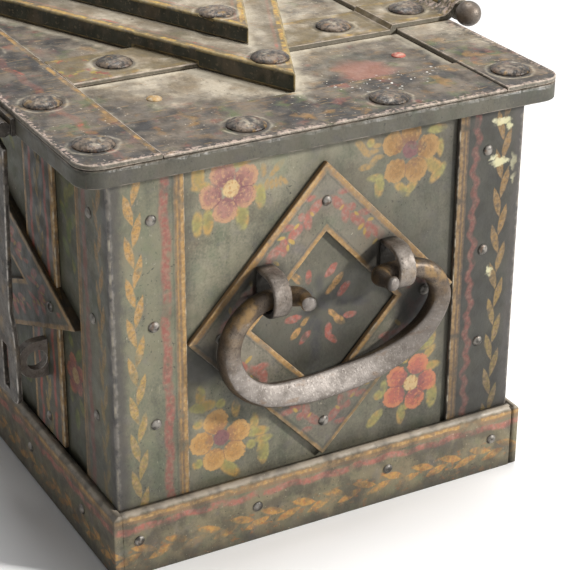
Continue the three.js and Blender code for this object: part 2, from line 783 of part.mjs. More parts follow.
// Straps across the lid from the front border, and hinge straps from the back border to the knuckles
function addCrossStraps() {
  const half = crossStrapWidth / 2;
  const low = lidTop + gap;
  const t = crossStrapThickness;
  const high = low + t;
  const riser = lidTop + gap + borderThickness + gap;
  const section = polygon([
    [lidMiddle + hiddenEnd, low],
    [backSeam - gap, low],
    [backSeam - gap, riser],
    [hingeY - eyeRadius - 1, riser],
    [hingeY, hingeZ + eyeBore],
    [hingeY, hingeZ + eyeRadius],
    [hingeY - eyeRadius - 6, riser + t],
    [backSeam - gap - t, riser + t],
    [backSeam - gap - t - 2, high],
    [lidMiddle + hiddenEnd, high],
  ]);
  const clearing = eyeRadius + knuckleGap;
  const room = knuckle / 2 + knuckleGap;
  for (const way of [-1, 1]) {
    const x = way * crossX;
    let strap = block(x - half, x + half, frontSeam + gap, lidMiddle - hiddenEnd, low, high);
    strap = strap.add(boss(x, -crossBossFront, high));
    add(way > 0 ? "front_cross_strap_right" : "front_cross_strap_left", strap, "lidPaint", lid);

    let hinge = runAlongX(section, x - half, x + half);
    hinge = hinge.add(hingeEye(x - half, x - half + knuckle, hingeY, hingeZ, eyeRadius, eyeBore));
    hinge = hinge.add(hingeEye(x + half - knuckle, x + half, hingeY, hingeZ, eyeRadius, eyeBore));
    const bore = disc(hingeY, hingeZ, eyeBore);
    hinge = hinge.subtract(runAlongX(bore, x - half - 1, x + half + 1, eyeSegments));
    const between = disc(hingeY, hingeZ, clearing + knuckleGap);
    hinge = hinge.subtract(runAlongX(between, x - room, x + room, eyeSegments));
    const window = block(x - room, x + room, hingeY - clearing, hingeY + clearing, low, hingeZ);
    hinge = hinge.subtract(window);
    hinge = hinge.add(boss(x, boxDepth / 2 - hingeBossInset, riser + t));
    hinge = hinge.add(boss(x, crossBossBack, high));
    add(way > 0 ? "hinge_strap_right" : "hinge_strap_left", hinge, "lidPaint", lid);
  }
}

// A lozenge tier: a shallow pan of sheet turned over, open below
function tierPan(halfLength, halfHeight, low, high) {
  const slope = Math.atan2(halfHeight, halfLength);
  const inLength = halfLength - tierSheet / Math.sin(slope);
  const inHeight = halfHeight - tierSheet / Math.cos(slope);
  const outer = raise(lozenge(halfLength, halfHeight, 0, lidMiddle), low, high);
  return outer.subtract(raise(lozenge(inLength, inHeight, 0, lidMiddle), low - 1, high - tierSheet));
}

function addTiers() {
  let lower = tierPan(tierHalfLength, tierHalfHeight, tierBase, ledgeTop);
  const half = crossStrapWidth / 2 + gap;
  for (const x of [-crossX, crossX]) {
    const notchTop = tierBase + crossStrapThickness + gap;
    lower = lower.subtract(block(x - half, x + half, -lidY, lidY, tierBase - 1, notchTop));
  }
  lower = lower.subtract(keyhole(tierBase, ledgeTop + 1, 4));
  const upperHalfLength = tierHalfLength - upperTierSetback;
  const upperHalfHeight = (upperHalfLength * tierHalfHeight) / tierHalfLength;
  for (const way of [-1, 1]) {
    lower = lower.add(boss(way * (tierHalfLength - lowerTipBoss), lidMiddle, ledgeTop));
  }
  add("lower_lozenge", lower, "lidPaint", lid);

  let upper = tierPan(upperHalfLength, upperHalfHeight, ledgeTop + gap, crown);
  upper = upper.subtract(keyhole(ledgeTop, crown + 1));
  for (const way of [-1, 1]) {
    const tipX = way * (upperHalfLength - upperTipBoss);
    upper = upper.add(boss(tipX, lidMiddle - upperTipDrift, crown));
    upper = upper.add(boss(0, lidMiddle + way * (upperHalfHeight - upperSideBoss), crown));
  }
  const pivotY = lidMiddle + coverPivot;
  const seat = crown + coverPlate + 2 * gap;
  const post = raise(disc(0, pivotY, postRadius), crown - 1, seat, 5);
  const head = rivet(0, pivotY, seat + headSink, postHead, postHeadHeight, 10);
  add("upper_lozenge", upper.add(post).add(head), "lidPaint", lid);
}

// Swinging cover over the keyhole: a drop-shaped plate with a raised button
function addKeyholeCover() {
  const low = crown + gap;
  const pivotY = lidMiddle + coverPivot;
  const middle = lidMiddle - coverDrift;
  const belly = middle + coverWidth;
  const waist = pivotY - coverEar;
  const drop = new THREE.Shape();
  drop.absarc(0, middle, coverWidth, Math.PI, 2 * Math.PI, false);
  drop.bezierCurveTo(coverWidth, belly, coverEar + 1, waist, coverEar, pivotY);
  drop.absarc(0, pivotY, coverEar, 0, Math.PI, false);
  drop.bezierCurveTo(-coverEar - 1, waist, -coverWidth, belly, -coverWidth, middle);
  drop.holes.push(disc(0, pivotY, postRadius + gap));
  const plate = raise(drop, low, low + coverPlate, 6);
  const button = rivet(0, middle, low + coverPlate, buttonRadius, buttonHeight, 10);
  add("keyhole_cover", plate.add(button), "bareIron", lid);
}

// Hasps hung from the lid's front edge
const haspY = -(lidY + gap + hingePlate + haspEye - 1);
const haspZ = lidTop - haspDrop;
const haspKnuckle = haspWidth / 3;

function addHaspBrackets() {
  const face = -(lidY + gap);
  const plateSection = rectangle(face - hingePlate, face, lidUnder - lidRimHeight + lidPlate, lidTop);
  for (const way of [-1, 1]) {
    const x = way * hatchX;
    const half = haspWidth / 2;
    let bracket = runAlongX(plateSection, x - half - 3, x + half + 3);
    for (const side of [-1, 1]) {
      const outer = x + side * half;
      const inner = x + side * (haspKnuckle / 2 + knuckleGap);
      bracket = bracket.add(
        runAlongX(disc(haspY, haspZ, haspEye), Math.min(inner, outer), Math.max(inner, outer), 7),
      );
    }
    const cleared = haspEye + knuckleGap + gap;
    const room = haspKnuckle / 2 + knuckleGap;
    bracket = bracket.subtract(runAlongX(disc(haspY, haspZ, cleared), x - room, x + room, 9));
    bracket = bracket.add(runAlongX(disc(haspY, haspZ, haspPin), x - half, x + half, 5));
    add(way > 0 ? "hasp_bracket_right" : "hasp_bracket_left", bracket, "darkIron", lid);
  }
}

function addHasps() {
  const haspLength = haspZ - stapleHeight + haspTail;
  const slotTop = haspZ - stapleHeight - stapleOuter - slotClearance;
  const slotFoot = haspZ - stapleHeight + stapleOuter + slotClearance;
  const half = haspWidth / 2;
  const shoulder = haspEye + 3;
  const waistShare = 0.62; // of the half width
  const outline = new THREE.Shape();
  outline.moveTo(-haspKnuckle / 2, 0);
  outline.lineTo(-haspKnuckle / 2, -shoulder);
  outline.lineTo(-half, -shoulder - 6);
  outline.lineTo(-half * waistShare, -slotTop + haspWaist);
  outline.quadraticCurveTo(-half, -slotTop + haspBelly, -half, -slotTop - shoulder);
  outline.lineTo(-half, -slotFoot + 2);
  outline.quadraticCurveTo(-half, -slotFoot - 12, 0, -haspLength);
  outline.quadraticCurveTo(half, -slotFoot - 12, half, -slotFoot + 2);
  outline.lineTo(half, -slotTop - shoulder);
  outline.quadraticCurveTo(half, -slotTop + haspBelly, half * waistShare, -slotTop + haspWaist);
  outline.lineTo(half, -shoulder - 6);
  outline.lineTo(haspKnuckle / 2, -shoulder);
  outline.lineTo(haspKnuckle / 2, 0);
  const slot = stapleWidth / 2 + slotClearance / 2;
  outline.holes.push(rectangle(-slot, slot, -slotFoot, -slotTop));
  let hasp = raise(outline, -haspThickness / 2, haspThickness / 2, 5);
  const upright = new THREE.Matrix4()
    .makeTranslation(0, haspY, haspZ)
    .multiply(new THREE.Matrix4().makeRotationX(Math.PI / 2));
  hasp = place(hasp, upright);
  const eye = runAlongX(disc(haspY, haspZ, haspEye), -haspKnuckle / 2, haspKnuckle / 2, 7);
  hasp = hasp.add(eye).subtract(runAlongX(disc(haspY, haspZ, haspBore), -half, half, 7));
  for (const way of [-1, 1]) {
    const moved = place(hasp, new THREE.Matrix4().makeTranslation(way * hatchX, 0, 0));
    add(way > 0 ? "hasp_right" : "hasp_left", moved, "darkIron", lid);
  }
}

// Lock: levels below the lid
const lockTop = lidUnder - gap;
const lockUnder = lockTop - lockPlate;
const boltTop = lockUnder - boltDrop;
const boltUnder = boltTop - boltThickness;
const wheelTop = boltUnder - wheelGap;
const wheelUnder = wheelTop - wheelThickness;
const coverTop = wheelUnder - coverGap;
const drawnX = rimInnerX - boltClearance; // tips of the drawn end bolts
const drawnY = rimInnerY - boltClearance;

const spins = { right: 0, back: 90, left: 180, front: 270 };

function spin(name) {
  return new THREE.Matrix4()
    .makeTranslation(0, lidMiddle, 0)
    .multiply(new THREE.Matrix4().makeRotationZ(THREE.MathUtils.degToRad(spins[name])));
}

// Lock plate with its keepers: low bridges that the bolts slide through
function addLockPlate() {
  const x = drawnX;
  const y = drawnY;
  const outline = polygon([
    [-x + plateCut, -y],
    [x - plateCut, -y],
    [x, -y + plateCut],
    [x, y - plateCut],
    [x - plateCut, y],
    [-x + plateCut, y],
    [-x, y - plateCut],
    [-x, -y + plateCut],
  ]);
  let plate = raise(outline, lockUnder, lockTop);
  plate = plate.subtract(raise(disc(0, lidMiddle, hubRadius + hubClearance), lockUnder - 1, lockTop + 1, 6));
  const half = boltWidth / 2 + gap;
  for (const [name, spots] of Object.entries(keeperSpots)) {
    for (const along of spots) {
      const outer = block(
        along,
        along + keeperLength,
        -half - keeperBar,
        half + keeperBar,
        boltUnder - gap - keeperBar,
        lockUnder + 1,
      );
      const way = block(along - 1, along + keeperLength + 1, -half, half, boltUnder - gap, lockUnder);
      plate = plate.add(place(outer.subtract(way), spin(name)));
    }
  }
  add("lock_plate", plate, "lockSteel", lid);
}

// Each bolt: a bar with a stump for the wheel, and a crossbar with its heads
function addBolts() {
  const bolt = (name, tip, crossHalf, heads) => {
    const half = boltWidth / 2;
    const inner = stumpStart - half;
    const cross = tip - headReach - boltWidth;
    let bar = block(inner, cross + 1, -half, half, boltUnder, boltTop);
    bar = bar.add(block(cross, cross + boltWidth, -crossHalf, crossHalf, boltUnder, boltTop));
    const root = cross + boltWidth - 1;
    const side = headWidth / 2;
    for (const y of heads) {
      const nose = polygon([
        [root, y - side],
        [tip - headChamfer, y - side],
        [tip, y - side + headChamfer],
        [tip, y + side - headChamfer],
        [tip - headChamfer, y + side],
        [root, y + side],
      ]);
      bar = bar.add(raise(nose, boltUnder, boltTop));
    }
    const stump = raise(disc(stumpStart, 0, stumpRadius), wheelUnder - 1, boltUnder + 1, 7);
    add("bolt_" + name, place(bar.add(stump), spin(name)), "lockSteel", lid);
  };
  bolt("right", drawnX, endCross, endHeads);
  bolt("left", drawnX, endCross, endHeads);
  bolt("front", drawnY + lidMiddle, sideCross, sideHeads);
  bolt("back", drawnY - lidMiddle, sideCross, sideHeads);
}

// Bolt wheel: each spiral slot draws its stump outwards by the same amount for each degree of turn
function addBoltWheel() {
  let wheel = raise(disc(0, 0, wheelRadius), wheelUnder, wheelTop, 14);
  const half = stumpRadius + stumpClearance;
  const steps = 8;
  for (const start of [0, 90, 180, 270]) {
    const outer = [];
    const inner = [];
    for (let i = 0; i <= steps; i++) {
      const turned = -slotOverrun + (i / steps) * (turnOfKey + 2 * slotOverrun);
      const angle = THREE.MathUtils.degToRad(start) - turned;
      const radius = stumpStart + (boltThrow * turned) / turnOfKey;
      const point = (r) => [r * Math.cos(angle), r * Math.sin(angle)];
      const lean = Math.atan2(boltThrow / turnOfKey, radius);
      outer.push(point(radius + half / Math.cos(lean)));
      inner.push(point(radius - half / Math.cos(lean)));
    }
    const slot = polygon([...outer, ...inner.reverse()]);
    wheel = wheel.subtract(raise(slot, wheelUnder - 1, wheelTop + 1));
    for (const turned of [0, turnOfKey]) {
      const angle = THREE.MathUtils.degToRad(start) - turned;
      const radius = stumpStart + (boltThrow * turned) / turnOfKey;
      const end = disc(radius * Math.cos(angle), radius * Math.sin(angle), half + drawnStumpClear);
      wheel = wheel.subtract(raise(end, wheelUnder - 1, wheelTop + 1, 5));
    }
  }
  wheel = wheel.add(raise(disc(0, 0, hubRadius), wheelTop - 1, lockTop, 9));
  wheel = wheel.add(raise(disc(0, 0, journalRadius), coverTop - coverThickness, wheelUnder + 1, 8));
  const middle = new THREE.Matrix4().makeTranslation(0, lidMiddle, 0);
  const bore = raise(disc(0, 0, keyholeRadius - 1), wheelUnder, lockTop + 1, 5);
  const bitHalf = keyholeSlotWidth / 2;
  const bit = block(-bitHalf, bitHalf, -hubRadius - 1, 0, boltUnder + 1, lockTop + 1);
  add("bolt_wheel", place(wheel.subtract(bore).subtract(bit), middle), "lockSteel", lid);
}

// Pierced cover that carries the wheel's lower journal on four pillars
function addLockCover() {
  const under = coverTop - coverThickness;
  let cover = raise(disc(0, 0, coverRadius), under, coverTop, 14);
  cover = cover.subtract(raise(disc(0, 0, journalRadius + hubClearance), under - 1, coverTop + 1, 8));
  for (let i = 0; i < petals; i++) {
    const angle = (i / petals) * 2 * Math.PI;
    const at = (r, turn) => [r * Math.cos(angle + turn), r * Math.sin(angle + turn)];
    const petal = new THREE.Shape();
    petal.moveTo(...at(petalStart, 0));
    petal.quadraticCurveTo(...at(petalBelly, -petalSpread), ...at(petalEnd, 0));
    petal.quadraticCurveTo(...at(petalBelly, petalSpread), ...at(petalStart, 0));
    cover = cover.subtract(raise(petal, under - 1, coverTop + 1, 4));
  }
  const pillarReach = coverRadius - pillarInset;
  for (let i = 0; i < 4; i++) {
    const angle = Math.PI / 4 + (i * Math.PI) / 2;
    const pillar = disc(pillarReach * Math.cos(angle), pillarReach * Math.sin(angle), pillarRadius);
    cover = cover.add(raise(pillar, coverTop - 1, lockUnder - gap, 5));
  }
  add("lock_cover", place(cover, new THREE.Matrix4().makeTranslation(0, lidMiddle, 0)), "lockSteel", lid);
}

addPanels();
addCornerStraps();
addPlinth();
addMouthRim();
addEndFrames();
addFrontStraps();
addBackStraps();
addHingePins();
addHandleLoops();
addHandles();
addStaples();
addLidPlate();
addLidBorders();
addCrossStraps();
addTiers();
addKeyholeCover();
addHaspBrackets();
addHasps();
addLockPlate();
addBolts();
addBoltWheel();
addLockCover();

export default box;
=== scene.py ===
"""Looks for the painted iron strongbox: worn plates and straps, forged handles, domed rivets, and painted
flowers, leaf chains and lines drawn by shaders. Lengths in shaders and tables are millimetres."""

import json
import math

import bmesh
import bpy
from mathutils import Matrix, Vector, noise


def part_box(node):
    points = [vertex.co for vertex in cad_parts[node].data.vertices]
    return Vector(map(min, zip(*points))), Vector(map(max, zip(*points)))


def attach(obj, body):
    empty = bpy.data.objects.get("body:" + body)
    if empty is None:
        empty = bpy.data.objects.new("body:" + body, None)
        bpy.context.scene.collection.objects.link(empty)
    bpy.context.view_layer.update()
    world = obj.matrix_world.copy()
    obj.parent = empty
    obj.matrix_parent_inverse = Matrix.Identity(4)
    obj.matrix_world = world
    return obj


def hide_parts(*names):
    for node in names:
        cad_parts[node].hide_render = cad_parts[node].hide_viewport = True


bl_info = {
    "name": "Painted strongbox",
    "version": (1, 0, 0),
    "blender": (4, 5, 0),
    "location": "3D View > Sidebar > Strongbox",
    "description": "Builds the worn plates, ironwork, rivets, painted decoration and stage of an iron strongbox",
    "category": "Object",
}

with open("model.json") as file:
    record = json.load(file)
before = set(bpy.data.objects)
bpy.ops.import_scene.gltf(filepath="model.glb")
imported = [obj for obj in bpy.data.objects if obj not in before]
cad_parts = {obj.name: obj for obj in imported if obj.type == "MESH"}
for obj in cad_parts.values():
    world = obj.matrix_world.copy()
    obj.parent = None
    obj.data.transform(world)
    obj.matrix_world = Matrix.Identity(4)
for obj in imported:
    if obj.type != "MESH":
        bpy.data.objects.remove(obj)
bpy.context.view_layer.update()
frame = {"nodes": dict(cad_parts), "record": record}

MM = 0.001
ENDS = {"right": 1, "left": -1}
SIDES = {"front": -1, "back": 1}
UP = (0, 0, 1)

# The solids' sizes that paints and rivets follow: half length and half height of each lozenge, the
# heights and places of their middles, the pivot loops' axis, and radius and height of a rivet head
END_LOZENGE = (108.7, 116.7)
FRONT_LOZENGE = (293.7, 116.7)
LOWER_TIER = (297.5, 133.95)
UPPER_TIER = (226.5, 101.98)
FRAME_Z = 169.0
TIER_Y = 3.85
UPRIGHT_X = 225.5
HINGE_X = 187.5
LOOP_AXIS = (364.5, 197.5)
BOSS = (15.0, 6.5)
STUD = (4.3, 2.8)


def colour(code):
    """The linear colour of an sRGB number such as 0x808080."""
    parts = [((code >> shift) & 255) / 255 for shift in (16, 8, 0)]
    return tuple(c / 12.92 if c <= 0.04045 else ((c + 0.055) / 1.055) ** 2.4 for c in parts)


def colour_property(name, code, description):
    return bpy.props.FloatVectorProperty(
        name=name, description=description, subtype="COLOR", size=3, min=0, max=1, default=colour(code)
    )


def length_property(name, default, description):
    return bpy.props.FloatProperty(name=name, description=description, unit="LENGTH", min=0, default=default)


class StrongboxSettings(bpy.types.PropertyGroup):
    """Sizes and colours of the strongbox's finish."""

    edge_round: length_property("Edge rounding", 0.0009, "Rounding worn onto plates and straps")
    tier_round: length_property("Tier rounding", 0.0021, "Rounding worn onto the lid's lozenge tiers")
    lock_round: length_property("Lock edge rounding", 0.0004, "Rounding filed onto the lock's pieces")
    forge_dents: length_property("Forging dents", 0.0011, "Depth of the hammer's dents in handles and loops")
    rivet_dents: length_property("Rivet dents", 0.0011, "Unevenness of the rivet heads")
    green: colour_property("Green paint", 0x827D69, "Ground colour of the walls and straps")
    green_dark: colour_property("Dark green paint", 0x454639, "Ground colour where it is dirty or thick")
    red: colour_property("Red", 0x9A4E3F, "Wavy lines, garlands and red flowers")
    rose: colour_property("Rose", 0x98695F, "Faded red flowers")
    ochre: colour_property("Ochre", 0xA88045, "Leaf chains and yellow flowers")
    gold: colour_property("Gold", 0xA07C45, "Edge lines")
    purple: colour_property("Purple", 0x6E4648, "Middles of the yellow flowers")
    dust: colour_property("Dust", 0xB5AB97, "Dust and worn paint on the lid")
    rust: colour_property("Rust", 0x6B4A30, "Rust in the forged pieces")


# Shader maths


def math_method(operation, swapped=False):
    """A method of Value that adds a Math node, with its numbers swapped for a reflected operator."""

    def method(self, *others):
        values = (*others, self) if swapped else (self, *others)
        return self.paint.math(operation, *values)

    return method


class Value:
    """A number inside a shader. Arithmetic on it adds Math nodes."""

    def __init__(self, paint, socket):
        self.paint = paint
        self.socket = socket

    __add__ = __radd__ = math_method("ADD")
    __sub__ = math_method("SUBTRACT")
    __rsub__ = math_method("SUBTRACT", swapped=True)
    __mul__ = __rmul__ = math_method("MULTIPLY")
    __truediv__ = math_method("DIVIDE")
    __rtruediv__ = math_method("DIVIDE", swapped=True)
    __mod__ = math_method("FLOORED_MODULO")
    __pow__ = math_method("POWER")
    __lt__ = math_method("LESS_THAN")
    __gt__ = math_method("GREATER_THAN")
    __abs__ = math_method("ABSOLUTE")
    low = math_method("MINIMUM")
    high = math_method("MAXIMUM")

    def __neg__(self):
        return self * -1.0


def add_node(tree, kind, inputs=None, settings=None):
    """A node with its settings made first, then its inputs, which are values, sockets or Values."""
    made = tree.nodes.new(kind)
    column, row = divmod(len(tree.nodes), 10)
    made.location = (220 * column, -170 * row)
    for key, value in (settings or {}).items():
        setattr(made, key, value)
    for key, value in (inputs or {}).items():
        if isinstance(value, Value):
            value = value.socket
        if isinstance(value, bpy.types.NodeSocket):
            tree.links.new(value, made.inputs[key])
        else:
            made.inputs[key].default_value = value
    return made


class Paint:
    """A material under construction, with the point in millimetres and a colour that layers are laid on."""

    def __init__(self, name):
        self.material = bpy.data.materials.new(name)
        self.material.use_nodes = True
        self.tree = self.material.node_tree
        self.tree.nodes.clear()
        places = self.node("ShaderNodeTexCoord").outputs
        self.point = self.vector("SCALE", {0: places["Object"], "Scale": 1 / MM})["Vector"]
        self.x, self.y, self.z = self.split(self.point)
        self.facing = self.split(places["Normal"])
        self.colour = (0.2, 0.2, 0.2)
        self.height = None
        self.noises = {}

    def node(self, kind, inputs=None, settings=None):
        return add_node(self.tree, kind, inputs, settings)

    def math(self, operation, *values):
        made = self.node("ShaderNodeMath", dict(enumerate(values)), {"operation": operation})
        return Value(self, made.outputs[0])

    def vector(self, operation, inputs):
        return self.node("ShaderNodeVectorMath", inputs, {"operation": operation}).outputs

    def split(self, vector):
        return [Value(self, part) for part in self.node("ShaderNodeSeparateXYZ", {0: vector}).outputs]

    def place(self, u, v):
        """The point u, v of a plane."""
        return self.node("ShaderNodeCombineXYZ", {0: u, 1: v}).outputs[0]

    def distance(self, place, spot):
        """The distance of such a point from a fixed one."""
        return Value(self, self.vector("DISTANCE", {0: place, 1: (*spot, 0.0)})["Value"])

    def ramp(self, value, start, end, low=0.0, high=1.0):
        """Runs smoothly from low, where value is start, to high, where it is end."""
        inputs = {"Value": value, "From Min": start, "From Max": end, "To Min": low, "To Max": high}
        made = self.node("ShaderNodeMapRange", inputs, {"interpolation_type": "SMOOTHSTEP"})
        return Value(self, made.outputs[0])

    def line(self, value, middle, half, soft=0.6):
        """1 within half of middle, and 0 beyond a soft edge."""
        return self.ramp(abs(value - middle), half + soft, half - soft)

    def noise(self, size, shift=0.0, stretch=(1, 1, 1), detail=2.0, roughness=0.5):
        """Noise with features of about this size in millimetres, from 0 to 1."""
        key = (size, shift, stretch, detail, roughness)
        if key not in self.noises:
            scale = tuple(s / size for s in stretch)
            shifts = (shift, shift * 1.7, shift * 0.6)
            moved = self.vector("MULTIPLY_ADD", {0: self.point, 1: scale, 2: shifts})["Vector"]
            inputs = {"Vector": moved, "Scale": 1.0, "Detail": detail, "Roughness": roughness}
            self.noises[key] = Value(self, self.node("ShaderNodeTexNoise", inputs).outputs["Fac"])
        return self.noises[key]

    def blotch(self, size, amount, shift=0.0, soft=0.06, **more):
        """A mask of blotches that cover about this share of the surface."""
        level = 0.5 + (0.5 - amount) * 0.55
        return self.ramp(self.noise(size, shift, **more), level - soft, level + soft)

    def mix(self, share, first, second):
        inputs = {0: share, 6: as_rgba(first), 7: as_rgba(second)}
        return self.node("ShaderNodeMix", inputs, {"data_type": "RGBA"}).outputs[2]

    def lay(self, tint, mask):
        """Lays a colour over what is there."""
        self.colour = self.mix(mask, self.colour, tint)

    def stain(self, tint, strength, *spots, **more):
        """Lays a colour in blotches."""
        self.lay(tint, self.blotch(*spots, **more) * strength)

    def raised(self, amount):
        """Adds to the height that the bump follows, in millimetres."""
        self.height = amount if self.height is None else self.height + amount

    def rough(self, depth, *places, **more):
        """Adds noise of a depth in millimetres to that height."""
        self.raised(self.noise(*places, **more) * depth)

    def shade(self, share):
        """Darkens what is there by a share, 0 for none."""
        self.lay((0.012, 0.011, 0.009), share)

    def attribute(self, name):
        return Value(self, self.node("ShaderNodeAttribute", settings={"attribute_name": name}).outputs["Fac"])

    def spread(self, tone, low, high):
        """Runs from low to high over the usual range of a noise."""
        return self.ramp(tone, 0.3, 0.7, low, high)

    def done(self, roughness, metallic=0.0, bump=1.0):
        """The material, with the colour and the height as laid so far."""
        inputs = {"Base Color": self.colour, "Roughness": roughness, "Metallic": metallic}
        if self.height is not None:
            relief = self.node("ShaderNodeBump", {"Strength": bump, "Distance": MM, "Height": self.height})
            inputs["Normal"] = relief.outputs[0]
        surface = self.node("ShaderNodeBsdfPrincipled", inputs)
        self.node("ShaderNodeOutputMaterial", {0: surface.outputs[0]})
        return self.material


def as_rgba(value):
    """Four numbers for a setting's name, an sRGB number or a linear colour; a socket stays as it is."""
    if isinstance(value, bpy.types.NodeSocket):
        return value
    if isinstance(value, str):
        value = getattr(bpy.context.scene.strongbox, value)
    elif isinstance(value, int):
        value = colour(value)
    return (*value, 1.0)


# Painted motifs, as masks


def brush(p, u, v, amount, size):
    """The same place as seen by an unsteady hand."""
    seen = []
    for value, wide, fine in ((u, 3.1, 5.3), (v, 7.7, 9.1)):
        value = value + (p.noise(size, wide) - 0.5) * (3.0 * amount)
        seen.append(value + (p.noise(2.4, fine) - 0.5) * amount)
    return seen


def mirrored_y(p):
    """y on the right end and -y on the left one, so that both ends are painted alike."""
    return p.y * p.math("SIGN", p.x)


def leaf_chain(p, across, along, pitch=30.0, length=26.0, width=7.0, lean=0.25, reach=2.9):
    """Slim pointed leaves that spring from one stem by turns, tips outwards and up."""
    masks = []
    for side, shift in ((-1, 0.0), (1, 0.5)):
        u, v = (along + shift * pitch) % pitch - pitch / 2, across - side * reach
        c, s = math.cos(-side * lean), math.sin(-side * lean)
        fill = 1.0 - ((u * c + v * s) / (length / 2)) ** 2.0 - abs(v * c - u * s) / (width / 2)
        masks.append(p.ramp(fill, -0.075, 0.25))
    return masks[0].high(masks[1])


def wave(p, across, along, half=2.4, swing=1.0, length=36.0):
    """A wavy brush line."""
    bend = p.math("SINE", along * (2 * math.pi / length)) * swing
    bend = bend + p.math("SINE", along * (2 * math.pi / (length * 2.63))) * (swing * 0.7)
    return p.ramp(abs(across - bend), half + 1.7, half - 1.0)


# Directions of oval dabs: each gives the two coordinates, the first of them along the dab
LONG = 0.46
DIAGONAL = math.sqrt(0.5)
WAYS = {
    "round": lambda u, v: (u, v),
    "tall": lambda u, v: (v * LONG, u),
    "wide": lambda u, v: (u * LONG, v),
    "rise": lambda u, v: ((u + v) * (LONG * DIAGONAL), (v - u) * DIAGONAL),
    "fall": lambda u, v: ((u - v) * (LONG * DIAGONAL), (u + v) * DIAGONAL),
}


def dabs(p, u, v, groups):
    """Depth inside the nearest of some brush dabs, in millimetres, and its lead over the next one.

    The groups give for each direction its dabs' u, v and half width.
    """
    best, second = None, None
    for way, spots in groups.items():
        plane = p.place(*WAYS[way](u, v))
        for a, b, half in spots:
            depth = half - p.distance(plane, WAYS[way](a, b))
            if best is None:
                best, second = depth, depth - 99.0
            else:
                second = second.high(best.low(depth))
                best = best.high(depth)
    return best, best - second


def paint_dabs(p, place, groups, tint, rim, wear, streak, pale=None, keep=None):
    """Strokes in the shape of dabs, whose edge runs between the two depths in rim."""
    mask = p.ramp(dabs(p, *place, groups)[0], *rim)
    stroke(p, tint, mask if keep is None else mask * keep, wear, streak, pale)


# Ground coats


def coat(p, light, dark, seed):
    """A worn, dirty ground coat: cloudy, streaked, speckled, with fine scratches and lost flakes."""
    clouds = p.noise(85, seed, detail=3.0) * 0.5 + p.noise(20, seed + 2, detail=3.0) * 0.3
    streaks = p.noise(7, seed + 5, stretch=(1, 1, 0.07), detail=3.0)
    tone = clouds + streaks * 0.175 + p.noise(1.8, seed + 8, detail=3.0) * 0.22
    p.colour = p.mix(p.ramp(tone, 0.4, 0.68), dark, light)
    p.stain(0x6E5F4C, 0.42, 26, 0.26, seed + 11, 0.16, detail=4.0)
    p.stain(0x56624A, 0.4, 17, 0.3, seed + 12, 0.14, detail=3.0)
    p.stain(0x5D5760, 0.3, 12, 0.24, seed + 13, 0.12, detail=3.0)
    p.stain(0x25291B, 0.34, 34, 0.3, seed + 15, 0.12, detail=5.0)
    speck = p.blotch(2.6, 0.2, seed + 14, 0.03, detail=3.0)
    p.lay((0.02, 0.019, 0.015), speck * p.blotch(40, 0.5, seed + 17, 0.2) * 0.8)
    flake = p.blotch(4.5, 0.07, seed + 20, 0.02, detail=4.0)
    p.lay("dust", flake * p.blotch(50, 0.4, seed + 23, 0.15) * 0.75)
    p.stain(0xA49C88, 0.35, 1.5, 0.12, seed + 24, 0.03, stretch=(1, 1, 0.3))
    p.rough(1.1, 30, seed + 26, detail=2.0)
    p.rough(0.3, 2.6, seed + 29, detail=3.0)
    p.raised(flake * -0.12)


def stroke(p, tint, mask, wear=0.3, streak=0.5, pale=None):
    """Lays a brush mark that thins out in streaks and is rubbed away in places."""
    thin = p.ramp(p.noise(2.6, 31, detail=3.0), 0.3, 0.62, 1.0 - streak, 1.0)
    rubbed = p.ramp(p.noise(11, 37, detail=4.0), 0.62 - wear * 0.4, 0.76 - wear * 0.4, 1.0, 0.2)
    if pale is not None:
        tint = p.mix(p.ramp(p.noise(3.5, 41, detail=2.0), 0.42, 0.66), tint, pale)
    p.lay(tint, mask * thin * rubbed * 0.92)


def worn_edges(p, tint, amount):
    """Bare metal in patches along rounded edges."""
    p.lay(tint, p.attribute("edge") * p.blotch(9, amount, 43, 0.15, detail=4.0) * 0.8)


def inside(p, outer):
    """Bare dark iron on every face that looks into the box."""
    bare = p.mix(p.noise(16, 51, detail=4.0), (0.032, 0.028, 0.024), (0.085, 0.07, 0.056))
    bare = p.mix(p.blotch(22, 0.35, 53, 0.12, detail=4.0) * 0.6, bare, "rust")
    p.colour = p.mix(outer, bare, p.colour)


def lozenge_distance(u, v, half_length, half_height):
    """Distance inwards from a lozenge's edge, and the distance along it from the middle of a side."""
    slant = math.hypot(half_length, half_height)
    share_u, share_v = abs(u) / half_length, abs(v) / half_height
    return (1.0 - share_u - share_v) * (half_length * half_height / slant), (share_u - share_v) * (slant / 2)


# Flowers in the corners of an end, as middle and petals; distances from the middle line and the floor
FLOWERS = (
    ((-72.5, 278), ((-78.5, 290, 9.6), (-60.5, 285, 8.6), (-62, 271, 8.7), (-77, 263, 9.2), (-88, 275, 8.6))),
    ((70, 280), ((56, 287, 8.6), (70, 292, 8.2), (84.5, 280, 9.0), (75, 264, 9.2), (58, 266, 8.8))),
    ((-81.5, 87), ((-86, 101, 9.6), (-68, 89, 9.0), (-71.5, 73.5, 8.8), (-88, 70.5, 8.8), (-97.5, 86, 9.2))),
    ((78, 90), ((65.5, 98, 8.8), (83.5, 105, 8.7), (92, 89, 8.6), (81.5, 76, 8.6), (63.5, 82, 9.2))),
)

